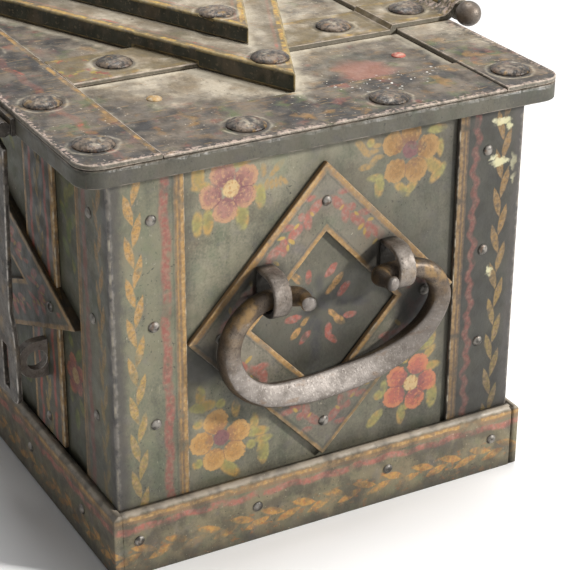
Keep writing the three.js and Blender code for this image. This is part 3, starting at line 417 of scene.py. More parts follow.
# Leaves round the flowers, and the small strokes of the sprigs
LEAVES = {
    "tall": (
        (-97, 291, 4.4), (-98, 257, 3.8), (-90, 257, 4.0), (-64, 256.5, 4.8), (-50, 268.5, 3.8), (45, 257.5, 3.5),
        (95, 277, 2.6), (-98, 124, 3.4), (-70, 108, 2.8), (-55, 92, 3.0), (-48, 67, 4.6), (95, 126, 3.0),
        (54, 92, 2.6), (70, 65, 3.2), (97, 75, 4.2),
    ),
    "wide": (
        (-95, 284, 2.8), (-66, 296, 3.2), (41, 264, 2.2), (-96, 116, 4.4), (-52, 84, 3.6), (-48, 77, 2.8),
        (89, 119, 2.6), (95, 101, 3.4), (92, 292, 3.0),
    ),
    "round": (
        (-54, 275, 2.4), (37, 291, 2.8), (-82, 115, 3.4), (-100, 103, 3.8), (-58, 75, 3.4), (-101, 70, 3.6),
        (72, 111, 2.4), (50, 87, 3.8), (74, 71, 2.6),
    ),
    "fall": ((64, 251, 3.2), (90, 264, 4.8), (-76, 60.5, 4.8)),
    "rise": ((71, 251, 3.2), (94, 258, 3.6), (93, 113, 2.8), (47, 68, 3.6)),
}
SPRIGS = {
    "tall": ((-48, 287, 2.0), (-45, 276, 1.5), (-41.5, 275.5, 1.5), (-38, 276, 1.5), (-34.5, 276.5, 1.5)),
    "rise": ((-36, 288, 2.4), (-40, 284, 1.6), (39, 276, 2.4)),
    "fall": ((-31, 276, 1.5), (29, 290, 2.4), (33, 285, 2.4)),
    "wide": ((39, 284, 1.8), (42, 288, 1.6), (33, 273.5, 2.2), (44, 279, 1.6)),
}

# Strokes of the rosette in the end frame's window
ROSETTE_RED = {
    "tall": ((-11.6, 198, 2.6), (5.5, 152, 3.0)),
    "rise": ((6.7, 200, 3.0), (17.6, 183, 3.1), (-14, 151, 2.8)),
    "wide": ((-24, 168, 3.0), (23, 161, 2.5)),
    "fall": ((8.5, 145, 2.6),),
}
ROSETTE_OCHRE = {
    "rise": ((7, 185.5, 2.2), (12.5, 191.5, 2.6), (-21.5, 156, 2.4), (-14, 164, 1.9)),
    "fall": ((9, 165, 2.2), (14, 159, 2.7), (-21, 199, 2.5), (-13, 184, 1.9)),
}
ROSETTE_DARK = {
    "round": ((2, 176, 6.0),),
    "wide": ((17, 173, 3.0), (31, 170, 3.0), (-14, 171, 2.2)),
    "tall": ((-4, 157, 3.2), (-3, 191, 2.6), (-5, 142, 3.4)),
    "fall": ((14, 163, 2.4), (-12, 186, 2.2)),
    "rise": ((-8, 163, 2.4), (12, 181, 2.2)),
}

# Garland of the end frame, folded to one quarter: distances from the frame's middle
GARLAND_RED = {
    "fall": ((9, 84, 3.6), (25, 68, 3.6), (42, 55, 3.8), (56, 33, 3.4), (66, 27, 3.0), (80, 9, 3.0)),
    "tall": ((15, 75, 3.3), (34, 59, 3.2), (50, 40, 3.4), (73, 14, 3.6)),
    "round": ((20, 79, 3.0), (70, 6, 2.6)),
    "wide": ((31, 73, 2.6), (52, 30, 2.8), (14, 92, 2.2)),
}
GARLAND_GOLD = {
    "rise": ((28, 62, 1.5), (62, 22, 1.6), (12, 80, 1.1), (40, 48, 1.3)),
    "wide": ((36, 66, 1.4),),
    "fall": ((24, 73, 1.2), (48, 46, 1.2)),
    "tall": ((31, 58, 1.3), (60, 38, 1.3), (76, 20, 1.3)),
}

# Pale splashes on the back corner strap
SPLASHES = {
    "wide": ((146, 289, 3.2), (139, 291, 1.6), (146, 258, 3.4), (139, 262, 1.8)),
    "round": ((152, 285, 2.6),),
    "tall": ((157, 256, 2.6), (158, 243, 1.8), (141, 172, 2.0)),
}


def petals(p, u, v, flowers, yellow, low):
    """Flowers of overlapping petals, dark towards the middle and pale at the rim."""
    depth, lead = dabs(p, u, v, {"round": [petal for _, ring in flowers for petal in ring]})
    reach, _ = dabs(p, u, v, {"round": [(*middle, 30.0) for middle, _ in flowers]})
    radial = 30.0 - reach
    base = p.mix(yellow, p.mix(low * 0.8, "rose", 0xAE5A48), 0xA87C43)
    deep = p.mix(yellow, 0x6A4347, 0x7D5844)
    rim = p.mix(yellow, p.mix(low, 0xB08A66, 0xB87852), 0xB48E58)
    mottle = p.noise(2.6, 61, detail=3.0)
    mask = p.ramp(depth + (mottle - 0.5) * 3.4, -0.8, 0.9)
    stroke(p, base, mask, 0.08, 0.25)
    p.lay(deep, mask * p.ramp(radial + (mottle - 0.5) * 10.0, 15.0, 7.0) * 0.7)
    p.lay(rim, mask * p.ramp(depth, 4.6, 1.4) * p.ramp(radial + (mottle - 0.5) * 9.0, 12.0, 20.0) * 0.75)
    p.lay(rim, mask * p.ramp(mottle, 0.53, 0.64) * 0.55)
    p.lay("green_dark", mask * p.blotch(1.9, 0.26, 64, 0.05, detail=3.0) * 0.34)
    p.lay(deep, mask * p.ramp(lead + (mottle - 0.5) * 1.6, 1.5, 0.2) * 0.75)
    p.lay(deep, mask * p.blotch(4.0, 0.18, 63, 0.05, detail=3.0) * 0.55)
    heart = p.ramp(radial + (mottle - 0.5) * 2.4, 7.2, 5.6)
    stroke(p, p.mix(yellow, 0xB89D6F, "purple"), heart, 0.05, 0.2)
    p.lay(p.mix(yellow, 0x94693F, 0x5A393C), heart * p.ramp(mottle, 0.52, 0.6) * 0.6)
    p.shade(mask * (yellow * (1.0 - low) * 0.22 + 0.1))


# Painted shadows that a handle casts on the wall and frame: middle, radius and strength
HANDLE_SHADOWS = (
    ((79.0, 158.0), 30.0, 0.9), ((58.0, 132.0), 17.0, 0.7), ((-92.0, 150.0), 28.0, 0.84),
    ((-62.0, 122.0), 20.0, 0.5), ((-76.0, 190.0), 22.0, 0.6),
)


def handle_shadow(p, u, v):
    place = p.place(u, v)
    for spot, radius, share in HANDLE_SHADOWS:
        away = p.distance(place, spot) + p.noise(24, 60, detail=3.0) * 16.0
        p.shade(p.ramp(away, radius + 6.0, radius - 8.0) * share)


def end_paint():
    p = Paint("end_paint")
    coat(p, "green", "green_dark", 0.0)
    handed = mirrored_y(p)
    u, v = brush(p, handed, p.z, 0.7, 8)
    # Painted shade: darker beside the frame and the straps and towards the plinth, darker towards the back, and
    # darker in the frame's window, most of all low down; then the handles' painted shadows
    distance, _ = lozenge_distance(p.y, p.z - FRAME_Z, *END_LOZENGE)
    cloud = p.noise(24, 60, detail=3.0)
    painted_shade = p.ramp(distance + cloud * 16.0, -14.0, 8.0) * 0.3
    painted_shade = painted_shade.high(p.ramp(abs(p.y) + cloud * 12.0, 103.0, 117.0) * 0.45)
    painted_shade = painted_shade.high(p.ramp(p.z - cloud * 50.0, 100.0, 30.0) * 0.36)
    p.shade(painted_shade)
    p.shade(p.ramp(u + cloud * 60.0, -10.0, 120.0) * p.ramp(p.z, 60.0, 130.0, 0.28, 0.54))
    window = distance > 30.0
    p.shade(window * p.ramp(p.z + cloud * 30.0, 222.0, 150.0, 0.3, 0.64))
    handle_shadow(p, handed, p.z)
    # Leaves, then flowers over them
    depth, _ = dabs(p, u, v, LEAVES)
    tone = p.noise(13, 65)
    leaf_tint = p.mix(p.ramp(tone, 0.42, 0.58), 0xA08048, 0x8E8750)
    stroke(p, leaf_tint, p.ramp(depth, -1.4, 0.5), 0.2, 0.5)
    p.lay(0x77703F, p.ramp(depth, 0.6, 2.4) * 0.5)
    paint_dabs(p, (u, v), SPRIGS, 0x94784A, (-0.9, 0.5), 0.25, 0.5)
    left, low = u < 0.0, v < 180.0
    petals(p, u, v, FLOWERS, 1.0 - abs(left - low), low)
    # Rosette of red and ochre strokes round a dark star, in the frame's window
    depth, _ = dabs(p, u, v, ROSETTE_DARK)
    p.lay((0.03, 0.028, 0.033), p.ramp(depth, -3.0, 1.6) * 0.66)
    paint_dabs(p, (u, v), ROSETTE_OCHRE, "ochre", (-0.8, 0.5), 0.15, 0.4, 0xB98A58)
    paint_dabs(p, (u, v), ROSETTE_RED, "red", (-0.6, 0.6), 0.12, 0.35, "rose")
    p.lay("green_dark", window * p.blotch(3.0, 0.42, 66, 0.08, detail=4.0) * 0.42)
    # The same painted shade again, more lightly, over the motifs
    p.shade(painted_shade * 0.3)
    p.shade(p.ramp(u + cloud * 60.0, -10.0, 120.0) * 0.14)
    p.shade(window * p.ramp(p.z + cloud * 30.0, 190.0, 140.0) * 0.3)
    worn_edges(p, "dust", 0.4)
    inside(p, abs(p.x) > 345.9)
    return p.done(p.spread(p.noise(14, 71), 0.46, 0.7), bump=0.7)


# Leaves and flowers of the front and back walls, folded left and right
FRONT_LEAVES = {
    "tall": (
        (273, 285, 4.5), (270, 262, 4.4), (272, 236, 4.2), (279, 214, 3.6), (263, 104, 3.6), (272, 86, 4.2),
        (92, 84, 4.2), (152, 90, 3.8),
    ),
    "fall": (
        (266, 276, 4.0), (264, 250, 3.6), (266, 222, 3.8), (264, 150, 3.8), (281, 100, 3.6), (92, 262, 4.2),
        (146, 258, 4.4), (168, 268, 3.4),
    ),
    "rise": ((279, 270, 4.2), (279, 246, 4.2), (280, 142, 3.8), (150, 290, 4.0), (150, 62, 4.2)),
    "wide": ((88, 288, 4.0), (170, 282, 3.6), (172, 74, 3.8)),
}
FRONT_FLOWERS = (
    ((120, 273), ((114, 286, 9.2), (132, 280, 8.7), (129, 264, 8.8), (112, 261, 9.0), (105, 276, 8.6))),
    ((120, 78), ((116, 92, 9.2), (133, 86, 8.8), (130, 69, 8.8), (114, 64, 8.8), (106, 79, 9.0))),
    ((272, 122), ((268, 132, 6.6), (280, 127, 6.4), (278, 115, 6.4), (267, 112, 6.6), (262, 122, 6.2))),
)


def front_paint():
    p = Paint("front_paint")
    # A darker coat than the ends': partly the wall's own dirtier paint and partly painted shade
    coat(p, 0x56553F, 0x2B2C22, 2.0)
    u, v = brush(p, abs(p.x), p.z, 0.7, 8)
    front = p.y < 0.0
    distance, _ = lozenge_distance(p.x, p.z - FRAME_Z, *FRONT_LOZENGE)
    # Painted shade: darker beside the frame and towards the plinth
    p.shade(front * p.ramp(distance + p.noise(24, 60) * 14.0, -10.0, 8.0) * 0.35)
    p.shade(p.ramp(p.z - p.noise(30, 62) * 50.0, 80.0, 20.0) * 0.35)
    tint = p.mix(p.ramp(p.noise(13, 65), 0.42, 0.58), 0x7F7A3A, 0x5F6B2C)
    paint_dabs(p, (u, v), FRONT_LEAVES, tint, (-0.8, 0.9), 0.25, 0.5)
    low = v < 180.0
    petals(p, u, v, FRONT_FLOWERS, (u < 200.0) * (1.0 - low), low)
    # Painted shade over the whole front
    p.shade(front * 0.4)
    worn_edges(p, "dust", 0.3)
    inside(p, abs(p.y) > 160.9)
    return p.done(p.spread(p.noise(14, 71), 0.46, 0.7), bump=0.7)


def gold_edges(p, distance, width=8.0, light=0.0):
    """Painted edge of a strap: a rubbed brown band, a thin pale line in it and dirt beside it."""
    wobble = distance + (p.noise(14, 81) - 0.5) * 1.6 + (p.noise(3, 83) - 0.5) * 1.2
    p.shade(p.line(wobble, width + 1.0, 0.5, 0.8) * 0.35)
    brown, pale = p.mix(light, 0x6B533C, 0x94755A), p.mix(light, 0x80664A, 0xA08567)
    stroke(p, brown, p.ramp(wobble, width + 0.7, width - 0.9), 0.12, 0.35, pale)
    stroke(p, "gold", p.line(wobble, width * 0.72, 0.5, 0.7), 0.3, 0.5)
    stroke(p, "gold", p.line(wobble, width * 0.26, 1.3, 0.9), 0.25, 0.5, pale=0xB29160)
    p.lay((0.05, 0.04, 0.03), p.ramp(wobble, 1.2, -0.2) * p.blotch(12, 0.5, 85, 0.1, detail=3.0) * 0.6)


def strap_paint():
    p = Paint("strap_paint")
    coat(p, 0x726F5A, 0x41433A, 4.0)
    on_end = abs(p.x) > 349.0
    near = (350.0 - abs(p.x)) * (1.0 - on_end) + (165.0 - abs(p.y)) * on_end
    handed = mirrored_y(p)
    # Painted shade: the leaves on the ends darker towards the back
    end_falloff_shade = p.ramp(handed, -20.0, 60.0) * p.ramp(p.noise(30, 79, detail=3.0), 0.3, 0.7, 0.66, 0.88)
    p.shade(on_end * end_falloff_shade)
    shift = p.math("SIGN", p.y) * 4.0 + on_end * 7.0 + p.math("SIGN", p.x) * 3.0
    across, along = brush(p, near, p.z + shift, 0.7, 10)
    leaves = leaf_chain(p, across - 17.5, -along, width=6.4)
    tint = p.mix(p.ramp(p.z, 90.0, 230.0), 0x9A8348, "ochre")
    stroke(p, tint, leaves, 0.16, 0.5, pale=0xA78960)
    p.lay(0x6C5738, leaves * p.blotch(2.4, 0.4, 67, 0.06, detail=3.0) * 0.5)
    back = handed > 0.0
    line = wave(p, across - 41.0, along, 2.9, 0.8, 41.0) * (1.0 - back)
    line = line + wave(p, across - 41.0, along, 2.2, 1.5, 16.5) * back
    stroke(p, 0x854C42, line, 0.24, 0.55, pale=0x8F6657)
    gold_edges(p, 56.0 - near)
    # Painted shade over the motifs: darker towards the back on the ends, darker on the front and back leaves, and
    # near black on the side faces
    p.shade(on_end * p.ramp(handed, -20.0, 60.0, 0.07, 0.48))
    p.shade((1.0 - on_end) * 0.42)
    shaded_sides = (abs(p.y) < 120.0) * (abs(p.facing[1]) > 0.6) + (abs(p.x) < 300.0) * (abs(p.facing[0]) > 0.6)
    p.lay((0.02, 0.017, 0.013), shaded_sides * 0.85)
    depth, _ = dabs(p, handed + (p.noise(5, 68) - 0.5) * 9.0, p.z + (p.noise(5, 69) - 0.5) * 9.0, SPLASHES)
    splash = p.ramp(depth, -0.8, 1.4) * on_end
    p.lay(p.mix(p.noise(12, 70), 0xB7B27A, 0xCFCBB4), splash * 0.75)
    # The corner itself is rubbed pale, with dark dirt beside it
    worn = near + p.noise(9, 90, detail=3.0) * 9.0
    p.lay(0x3F3B37, p.ramp(worn, 17.0, 9.0) * 0.85)
    p.lay(0x8E877F, p.ramp(near + p.noise(5, 92, detail=4.0) * 6.0, 6.5, 3.5) * 0.6)
    p.lay((0.03, 0.029, 0.03), p.ramp(near, 8.0, 1.0) * p.blotch(7, 0.4, 94, 0.08, detail=4.0) * 0.7)
    # Painted shade: darker towards the plinth
    p.shade(p.ramp(p.z - p.noise(20, 96) * 40.0, 110.0, 20.0) * 0.42)
    worn_edges(p, "dust", 0.35)
    inside(p, (abs(p.x) > 349.0).high(abs(p.y) > 164.0))
    return p.done(p.spread(p.noise(12, 73), 0.42, 0.68), bump=0.7)


def upright_paint():
    p = Paint("upright_paint")
    coat(p, 0x504D42, 0x26251F, 6.0)
    middle = UPRIGHT_X * (p.y < 0.0) + HINGE_X * (p.y > 0.0)
    across, along = brush(p, abs(p.x) - middle, p.z, 0.7, 10)
    stroke(p, "red", wave(p, abs(across) - 14.0, along, 1.8), 0.2, 0.4)
    leaves = leaf_chain(p, across, -along, 30.0, 25.0, 7.0, 0.24, 2.8)
    stroke(p, 0x8C7440, leaves, 0.3, 0.4)
    gold_edges(p, 27.5 - abs(abs(p.x) - middle), 5.0)
    p.shade(p.ramp(p.z, 80.0, 40.0) * 0.4)
    worn_edges(p, "dust", 0.4)
    return p.done(p.spread(p.noise(12, 73), 0.42, 0.68), bump=0.7)


def plinth_paint():
    p = Paint("plinth_paint")
    coat(p, 0x716851, 0x34332A, 8.0)
    on_end = abs(p.x) > 356.0
    # Painted shade on the front and back bands
    p.shade((1.0 - on_end) * 0.25)
    run, up = brush(p, p.x + p.y, p.z, 0.8, 9)
    scroll = leaf_chain(p, up - 17.0, run, 26.0, 23.0, 7.0, 0.3, 3.2)
    stroke(p, "ochre", scroll, 0.32, 0.6, pale=0x9A6B3F)
    stroke(p, 0x8E6038, p.blotch(7, 0.3, 98, 0.05, stretch=(1, 1, 2.2), detail=3.0) * (up < 26.0), 0.5, 0.6)
    stroke(p, 0x96584C, wave(p, up - 38.5, run, 2.3, 0.9, 29.0), 0.25, 0.6, pale="rose")
    stroke(p, 0x7A5F45, p.line(up, 46.0, 3.2, 0.7), 0.15, 0.4)
    stroke(p, "gold", p.line(up, 46.8, 1.4, 0.8), 0.35, 0.6, pale=0xB29160)
    p.lay(0x9B9081, p.ramp(p.z + p.noise(7, 95, detail=3.0) * 4.0, 50.5, 52.5) * 0.85)
    p.shade(p.ramp(p.z - p.noise(18, 97) * 12.0, 8.0, -8.0) * 0.7)
    p.stain((0.035, 0.031, 0.024), 0.6, 15, 0.42, 99, 0.1, detail=5.0)
    p.stain(0xA79C86, 0.5, 2.4, 0.12, 100, 0.03, detail=3.0)
    worn_edges(p, 0x6B6253, 0.3)
    return p.done(p.spread(p.noise(12, 73), 0.46, 0.72), bump=0.9)


def end_frame_paint():
    p = Paint("end_frame_paint")
    coat(p, 0x7A7364, 0x3E3E34, 10.0)
    place = brush(p, abs(p.y), abs(p.z - FRAME_Z), 0.7, 8)
    keep = p.ramp(p.noise(30, 64), 0.36, 0.42, 0.35, 1.0)
    paint_dabs(p, place, GARLAND_RED, 0x97584C, (-0.9, 0.8), 0.2, 0.5, 0x9A7468, keep)
    paint_dabs(p, place, GARLAND_GOLD, 0xA88C46, (-0.4, 0.5), 0.2, 0.3, keep=keep)
    distance, _ = lozenge_distance(p.y, p.z - FRAME_Z, *END_LOZENGE)
    gold_edges(p, distance, 3.2 + 1.8 * (p.z > FRAME_Z), 0.5)
    gold_edges(p, 36.0 - distance, 4.0, 0.2)
    p.lay("green_dark", p.ramp(distance, 6.0, 4.0) * (p.z < FRAME_Z) * p.blotch(13, 0.55, 86, 0.12) * 0.6)
    # Painted shade: darker towards the plinth and towards the back, then the handles' painted shadows
    p.shade(p.ramp(p.z - p.noise(24, 96) * 30.0, 130.0, 70.0) * 0.3)
    handed = mirrored_y(p)
    p.shade(p.ramp(handed + p.noise(24, 98) * 40.0, -20.0, 60.0) * 0.3)
    handle_shadow(p, handed, p.z)
    # Side faces: gold-brown paint on those facing up, and painted shade, deepest on those facing down
    side = abs(p.facing[0]) < 0.6
    p.lay(p.mix(p.noise(9, 88), 0x8A6A44, 0xA58560), side * (p.facing[2] > 0.0) * 0.9)
    p.shade(side * p.ramp(p.facing[2], 0.1, -0.1, 0.2, 0.8))
    # Painted shadow inside each pivot loop
    p.shade(p.ramp(p.distance(p.place(abs(p.y), p.z), (50.0, 202.0)), 24.0, 13.0) * 0.88)
    worn_edges(p, 0x8F8370, 0.3)
    return p.done(p.spread(p.noise(12, 75), 0.44, 0.68), bump=0.7)


# One repeat of the front frame's garland
FRONT_GARLAND_RED = {
    "rise": ((-16, -3.5, 3.6), (1, -3, 3.4)), "fall": ((-8, 4, 3.4),), "wide": ((9, 4, 3.2),),
    "round": ((16, -2, 3),),
}
FRONT_GARLAND_GOLD = {"rise": ((-3, 1, 1.4),), "fall": ((5, 0, 1.3),), "wide": ((13, 3, 1.3), (-12, 1, 1.3))}


def front_frame_paint():
    p = Paint("front_frame_paint")
    coat(p, 0x545143, 0x27261F, 12.0)
    distance, along = lozenge_distance(p.x, p.z - FRAME_Z, *FRONT_LOZENGE)
    across, run = brush(p, distance - 18.0, along, 0.9, 8)
    place = (run % 46.0 - 23.0, across)
    paint_dabs(p, place, FRONT_GARLAND_RED, "red", (-0.6, 0.8), 0.2, 0.4, "rose")
    paint_dabs(p, place, FRONT_GARLAND_GOLD, 0x94803F, (-0.4, 0.5), 0.2, 0.3)
    gold_edges(p, distance, 4.2)
    gold_edges(p, 36.0 - distance, 4.0)
    # Painted shade: the whole frame darker, and its side faces darker still
    p.shade(0.3)
    p.shade((abs(p.facing[1]) < 0.6) * 0.75)
    worn_edges(p, 0x8A7C64, 0.4)
    return p.done(p.spread(p.noise(12, 75), 0.44, 0.68), bump=0.7)


# Places of the large rivets, folded left and right
LID_HEADS = (
    (0, -164), (121, -164), (242, -164), (330, -164), (335, 160), (62.5, 160),
    (341, -58), (341, 54), (HINGE_X, -86), (HINGE_X, 98), (HINGE_X, 164),
)
TIER_HEADS = ((259.5, TIER_Y), (184.5, TIER_Y - 5.0), (0, TIER_Y + 78.0), (0, TIER_Y - 78.0))


def nearest(p, spots):
    """Distance to the nearest of some rivets, which lie alike left and right."""
    folded = p.place(abs(p.x), p.y)
    found = p.distance(folded, spots[0])
    for spot in spots[1:]:
        found = found.low(p.distance(folded, spot))
    return found


def rivet_shade_and_dust(p, spots):
    """Painted shade at the foot of each large rivet, and a broken pale ring of dust round it."""
    near = nearest(p, spots) + (p.noise(9, 111, detail=4.0) - 0.5) * 5.0
    p.lay("dust", p.line(near, 17.6, 0.6, 1.6) * p.blotch(14, 0.55, 97, 0.14, detail=4.0) * 0.66)
    p.shade(p.ramp(near, 16.8, 14.6) * 0.6)


def lid_ground(p, seed):
    """The lid's old paint: dust over brown, grey, red and green traces, thickest away from the edges."""
    ends = p.ramp(abs(p.x) + p.noise(40, seed + 1, detail=3.0) * 60.0, 305.0, 350.0)
    front = p.ramp(p.y + p.noise(40, seed + 3, detail=3.0) * 60.0, -60.0, -130.0)
    dirty = ends.high(front)
    old = p.mix(p.ramp(p.noise(26, seed + 5, detail=5.0), 0.35, 0.65), 0x1F1B18, 0x655A4D)
    for count, (code, amount) in enumerate(((0x48502F, 0.3), (0x6E3F36, 0.24), (0x7F6036, 0.26), (0x2A2622, 0.36))):
        patch = p.blotch(16, amount, seed + 7 + 4 * count, 0.08, detail=4.0)
        old = p.mix(patch * p.blotch(55, 0.6, seed + 9 + 4 * count, 0.15) * 0.8, old, code)
    p.colour = old
    veil = p.noise(80, seed + 31, detail=5.0) * 0.72 + p.noise(9, seed + 33, detail=4.0) * 0.14
    veil = veil + p.noise(2.2, seed + 34, stretch=(1, 0.4, 1), detail=3.0) * 0.14
    amount = p.ramp(veil - dirty * 0.2, 0.35, 0.58)
    p.lay(p.mix(p.ramp(p.noise(22, seed + 35, detail=5.0), 0.35, 0.65), 0x7E705A, 0xAFA491), amount * 0.88)
    scratch = p.blotch(2.2, 0.26, seed + 36, 0.04, stretch=(1, 0.16, 1), detail=3.0)
    p.lay(0x8C7350, scratch * p.blotch(36, 0.5, seed + 38, 0.12, detail=3.0) * 0.6)
    p.lay((0.02, 0.018, 0.015), p.blotch(2.0, 0.24, seed + 40, 0.04, stretch=(1, 0.2, 1), detail=3.0) * dirty * 0.7)
    for size, share, code, shift in (
        (2.6, 0.15, 0xC4B8A6, 37), (1.8, 0.17, 0x221E1A, 39), (3.4, 0.13, 0x8A5F39, 41), (7.0, 0.13, 0x3A3129, 47),
    ):
        speck = p.blotch(size, share, seed + shift, 0.03, detail=3.0)
        p.lay(code, speck * p.blotch(30, 0.5, seed + shift + 1, 0.2) * 0.8)
    p.rough(1.6, 34, seed + 43, detail=2.0)
    p.rough(0.7, 3.2, seed + 45, detail=4.0)


def dust_line(p, distance, width, seed=0.0):
    """Pale dust caught beside an edge, at a distance from it."""
    broken = p.noise(13, 101 + seed, detail=5.0)
    p.lay("dust", p.ramp(distance + broken * (width * 2.0), width * 2.1, width * 0.7) * (distance > 0.0) * 0.9)


def lid_paint():
    p = Paint("lid_paint")
    lid_ground(p, 12.0)
    across, _ = brush(p, abs(p.x), p.y, 1.0, 10)
    field = (p.z < 316.95) * (p.z > 316.0)
    strap = (p.z > 316.95) * (p.y > -130.3) * (across < 216.0)
    lozenge, _ = lozenge_distance(p.x, p.y - TIER_Y, *LOWER_TIER)
    thin = p.ramp(-lozenge + p.noise(30, 121, detail=4.0) * 40.0, 34.0, 78.0)
    p.lay(0x4A4239, thin * p.ramp(p.noise(12, 123, detail=5.0), 0.36, 0.6) * field * 0.5)
    dust_line(p, -lozenge, 13.0)
    dust_line(p, (across - 215.2) * field, 9.0, 1.0)
    dust_line(p, (159.8 - across) * field, 9.0, 2.0)
    dust_line(p, (p.y + 130.2) * field, 5.0, 3.0)
    dust_line(p, (138.0 - p.y) * field, 10.0, 4.0)
    # A rose patch, bare dark paint beside it and white splashes near the end
    spot = p.distance(p.place(across, p.y), (276.0, 74.0))
    cloudy = spot + p.noise(14, 103, detail=4.0) * 30.0
    p.lay(0x8A5E50, p.ramp(cloudy, 44.0, 30.0) * field * 0.7)
    p.lay(0x38382F, p.ramp(cloudy, 58.0, 44.0) * p.ramp(across, 272.0, 250.0) * field * 0.55)
    splash = p.blotch(4.0, 0.2, 105, 0.02, detail=2.0)
    p.lay(0xE0DCD4, splash * p.ramp(spot, 62.0, 40.0) * (across > 288.0) * 0.9)
    wave_mask = wave(p, p.y + 158.0, p.x, 2.6, 1.6, 34.0) * (p.y < -131.0)
    stroke(p, "red", wave_mask, 0.75, 0.6)
    for middle, half in ((210.5, 2.8), (165.0, 2.4)):
        stroke(p, "gold", p.line(across, middle, half, 1.0) * strap, 0.5, 0.6, pale=0xB89E50)
    warm = strap * p.ramp(p.noise(18, 125, detail=5.0), 0.34, 0.56) * 0.85
    p.lay(p.mix(p.noise(6, 127, detail=4.0), 0x3A3122, 0x6E5E3C), warm)
    blobs = p.blotch(8, 0.34, 107, 0.05, detail=2.0) * strap * (p.y < -96.0)
    stroke(p, p.mix(p.ramp(p.noise(9, 109), 0.45, 0.55), 0x7A3B33, 0x8C7A36), blobs, 0.4, 0.4)
    stroke(p, "gold", p.line(p.y, -133.5, 1.6, 0.8) * (p.z > 317.0), 0.6, 0.5)
    stroke(p, 0x8B6B42, p.line(abs(p.x), 301.5, 1.3, 0.8) * (p.z > 317.0), 0.8, 0.6)
    rivet_shade_and_dust(p, LID_HEADS)
    # Edges and underside
    border = (364.3 - abs(p.x)).low(187.4 - abs(p.y)) + (p.noise(7, 113, detail=4.0) - 0.5) * 8.0
    p.lay((0.025, 0.021, 0.018), p.ramp(border, 12.0, 5.0) * p.blotch(4.0, 0.5, 115, 0.07, detail=4.0) * 0.75)
    p.lay(0xA89488, p.ramp(border, 5.0, 2.4) * p.blotch(3.0, 0.45, 117, 0.06, detail=4.0) * 0.8)
    p.raised(p.ramp(border, 6.0, 1.0) * p.noise(3.5, 119, detail=3.0) * 1.4)
    p.lay(0x5F5B50, (p.facing[2] < 0.4) * 0.85)
    worn_edges(p, 0xA89A8C, 0.62)
    inside(p, p.facing[2] > -0.5)
    return p.done(p.spread(p.noise(10, 77), 0.6, 0.86), bump=1.0)


def rim_paint():
    p = Paint("rim_paint")
    coat(p, 0x726D5C, 0x47453A, 14.0)
    p.lay((0.03, 0.028, 0.024), p.ramp(p.z + p.noise(12, 98) * 3.0, 306.5, 304.5) * 0.5)
    p.shade(0.6)
    p.lay(0x85786B, p.ramp(p.z + p.noise(11, 99, detail=5.0) * 6.0, 318.6, 320.6) * 0.5)
    p.raised(p.ramp(p.z + p.noise(6, 91, detail=3.0) * 4.0, 316.0, 318.5) * -1.2)
    worn_edges(p, 0x857B70, 0.4)
    outer = (abs(p.x) > 359.8).high(abs(p.y) > 182.8) * (p.facing[2] > -0.8)
    inside(p, outer)
    return p.done(p.spread(p.noise(12, 77), 0.45, 0.7), bump=0.8)


def tier_paint(name, halves):
    p = Paint(name)
    lid_ground(p, 16.0)
    distance, _ = lozenge_distance(p.x, p.y - TIER_Y, *halves)
    edge = distance + (p.noise(14, 83) - 0.5) * 1.8
    if halves == LOWER_TIER:
        inner, _ = lozenge_distance(p.x, p.y - TIER_Y, *UPPER_TIER)
        dust_line(p, -inner, 6.0)
    p.lay(0x544A38, p.ramp(edge, 34.0, 4.0) * p.ramp(p.noise(16, 91, detail=5.0), 0.34, 0.62) * 0.75)
    p.lay(0x3E3A30, p.ramp(edge, 9.0, 4.0) * 0.5)
    stroke(p, "gold", p.line(edge, 3.4, 1.9, 0.8), 0.42, 0.5, pale=0xB99A4C)
    stroke(p, "red", p.line(edge, 9.0, 1.2, 0.8), 0.8, 0.6)
    rivet_shade_and_dust(p, TIER_HEADS)
    # Painted shade: the side faces near black, with streaks and specks of dirt in it
    side = p.ramp(p.facing[2], 0.6, 0.3)
    dark = p.mix(p.noise(20, 85, stretch=(1, 1, 0.4), detail=3.0), 0x15150F, 0x30321F)
    dark = p.mix(p.blotch(14, 0.36, 87, 0.1, stretch=(1, 1, 0.5), detail=4.0) * 0.8, dark, 0x5A5040)
    dark = p.mix(p.blotch(3.0, 0.25, 89, 0.05, detail=3.0) * 0.6, dark, 0x7A6E5A)
    p.lay(dark, side * 0.95)
    worn_edges(p, 0x8E7C52, 0.6)
    inside(p, p.facing[2] > -0.5)
    return p.done(p.spread(p.noise(10, 77), 0.6, 0.86), bump=1.0)


def boss_paint():
    p = Paint("boss_paint")
    tone = p.noise(13, 1, detail=4.0) * 0.5 + p.noise(3, 3, detail=4.0) * 0.5
    p.colour = p.mix(p.ramp(tone, 0.4, 0.62), 0x241F1A, 0x6C5E50)
    p.stain(0x86693C, 0.65, 6, 0.24, 5, 0.06, detail=3.0)
    p.stain(0x64463A, 0.5, 8, 0.26, 9, 0.08, detail=3.0)
    p.stain((0.009, 0.008, 0.008), 0.85, 4, 0.32, 13, 0.05, detail=3.0)
    p.lay("dust", p.ramp(p.facing[2] + (p.noise(5, 15, detail=4.0) - 0.5) * 1.1, 0.95, 1.3) * 0.5)
    p.rough(1.3, 6, 17, detail=3.0)
    p.rough(0.3, 1.6, 19, detail=2.0)
    return p.done(p.spread(tone, 0.36, 0.62), 0.3, 0.9)


def stud_paint():
    p = Paint("stud_paint")
    tone = p.noise(5, 1, detail=4.0)
    p.colour = p.mix(p.ramp(tone, 0.35, 0.65), 0x35322D, 0x86817A)
    p.stain("rust", 0.5, 5, 0.25, 5, 0.08, detail=3.0)
    p.rough(0.4, 2.2, 17, detail=3.0)
    return p.done(p.spread(tone, 0.36, 0.6), 0.5, 0.7)


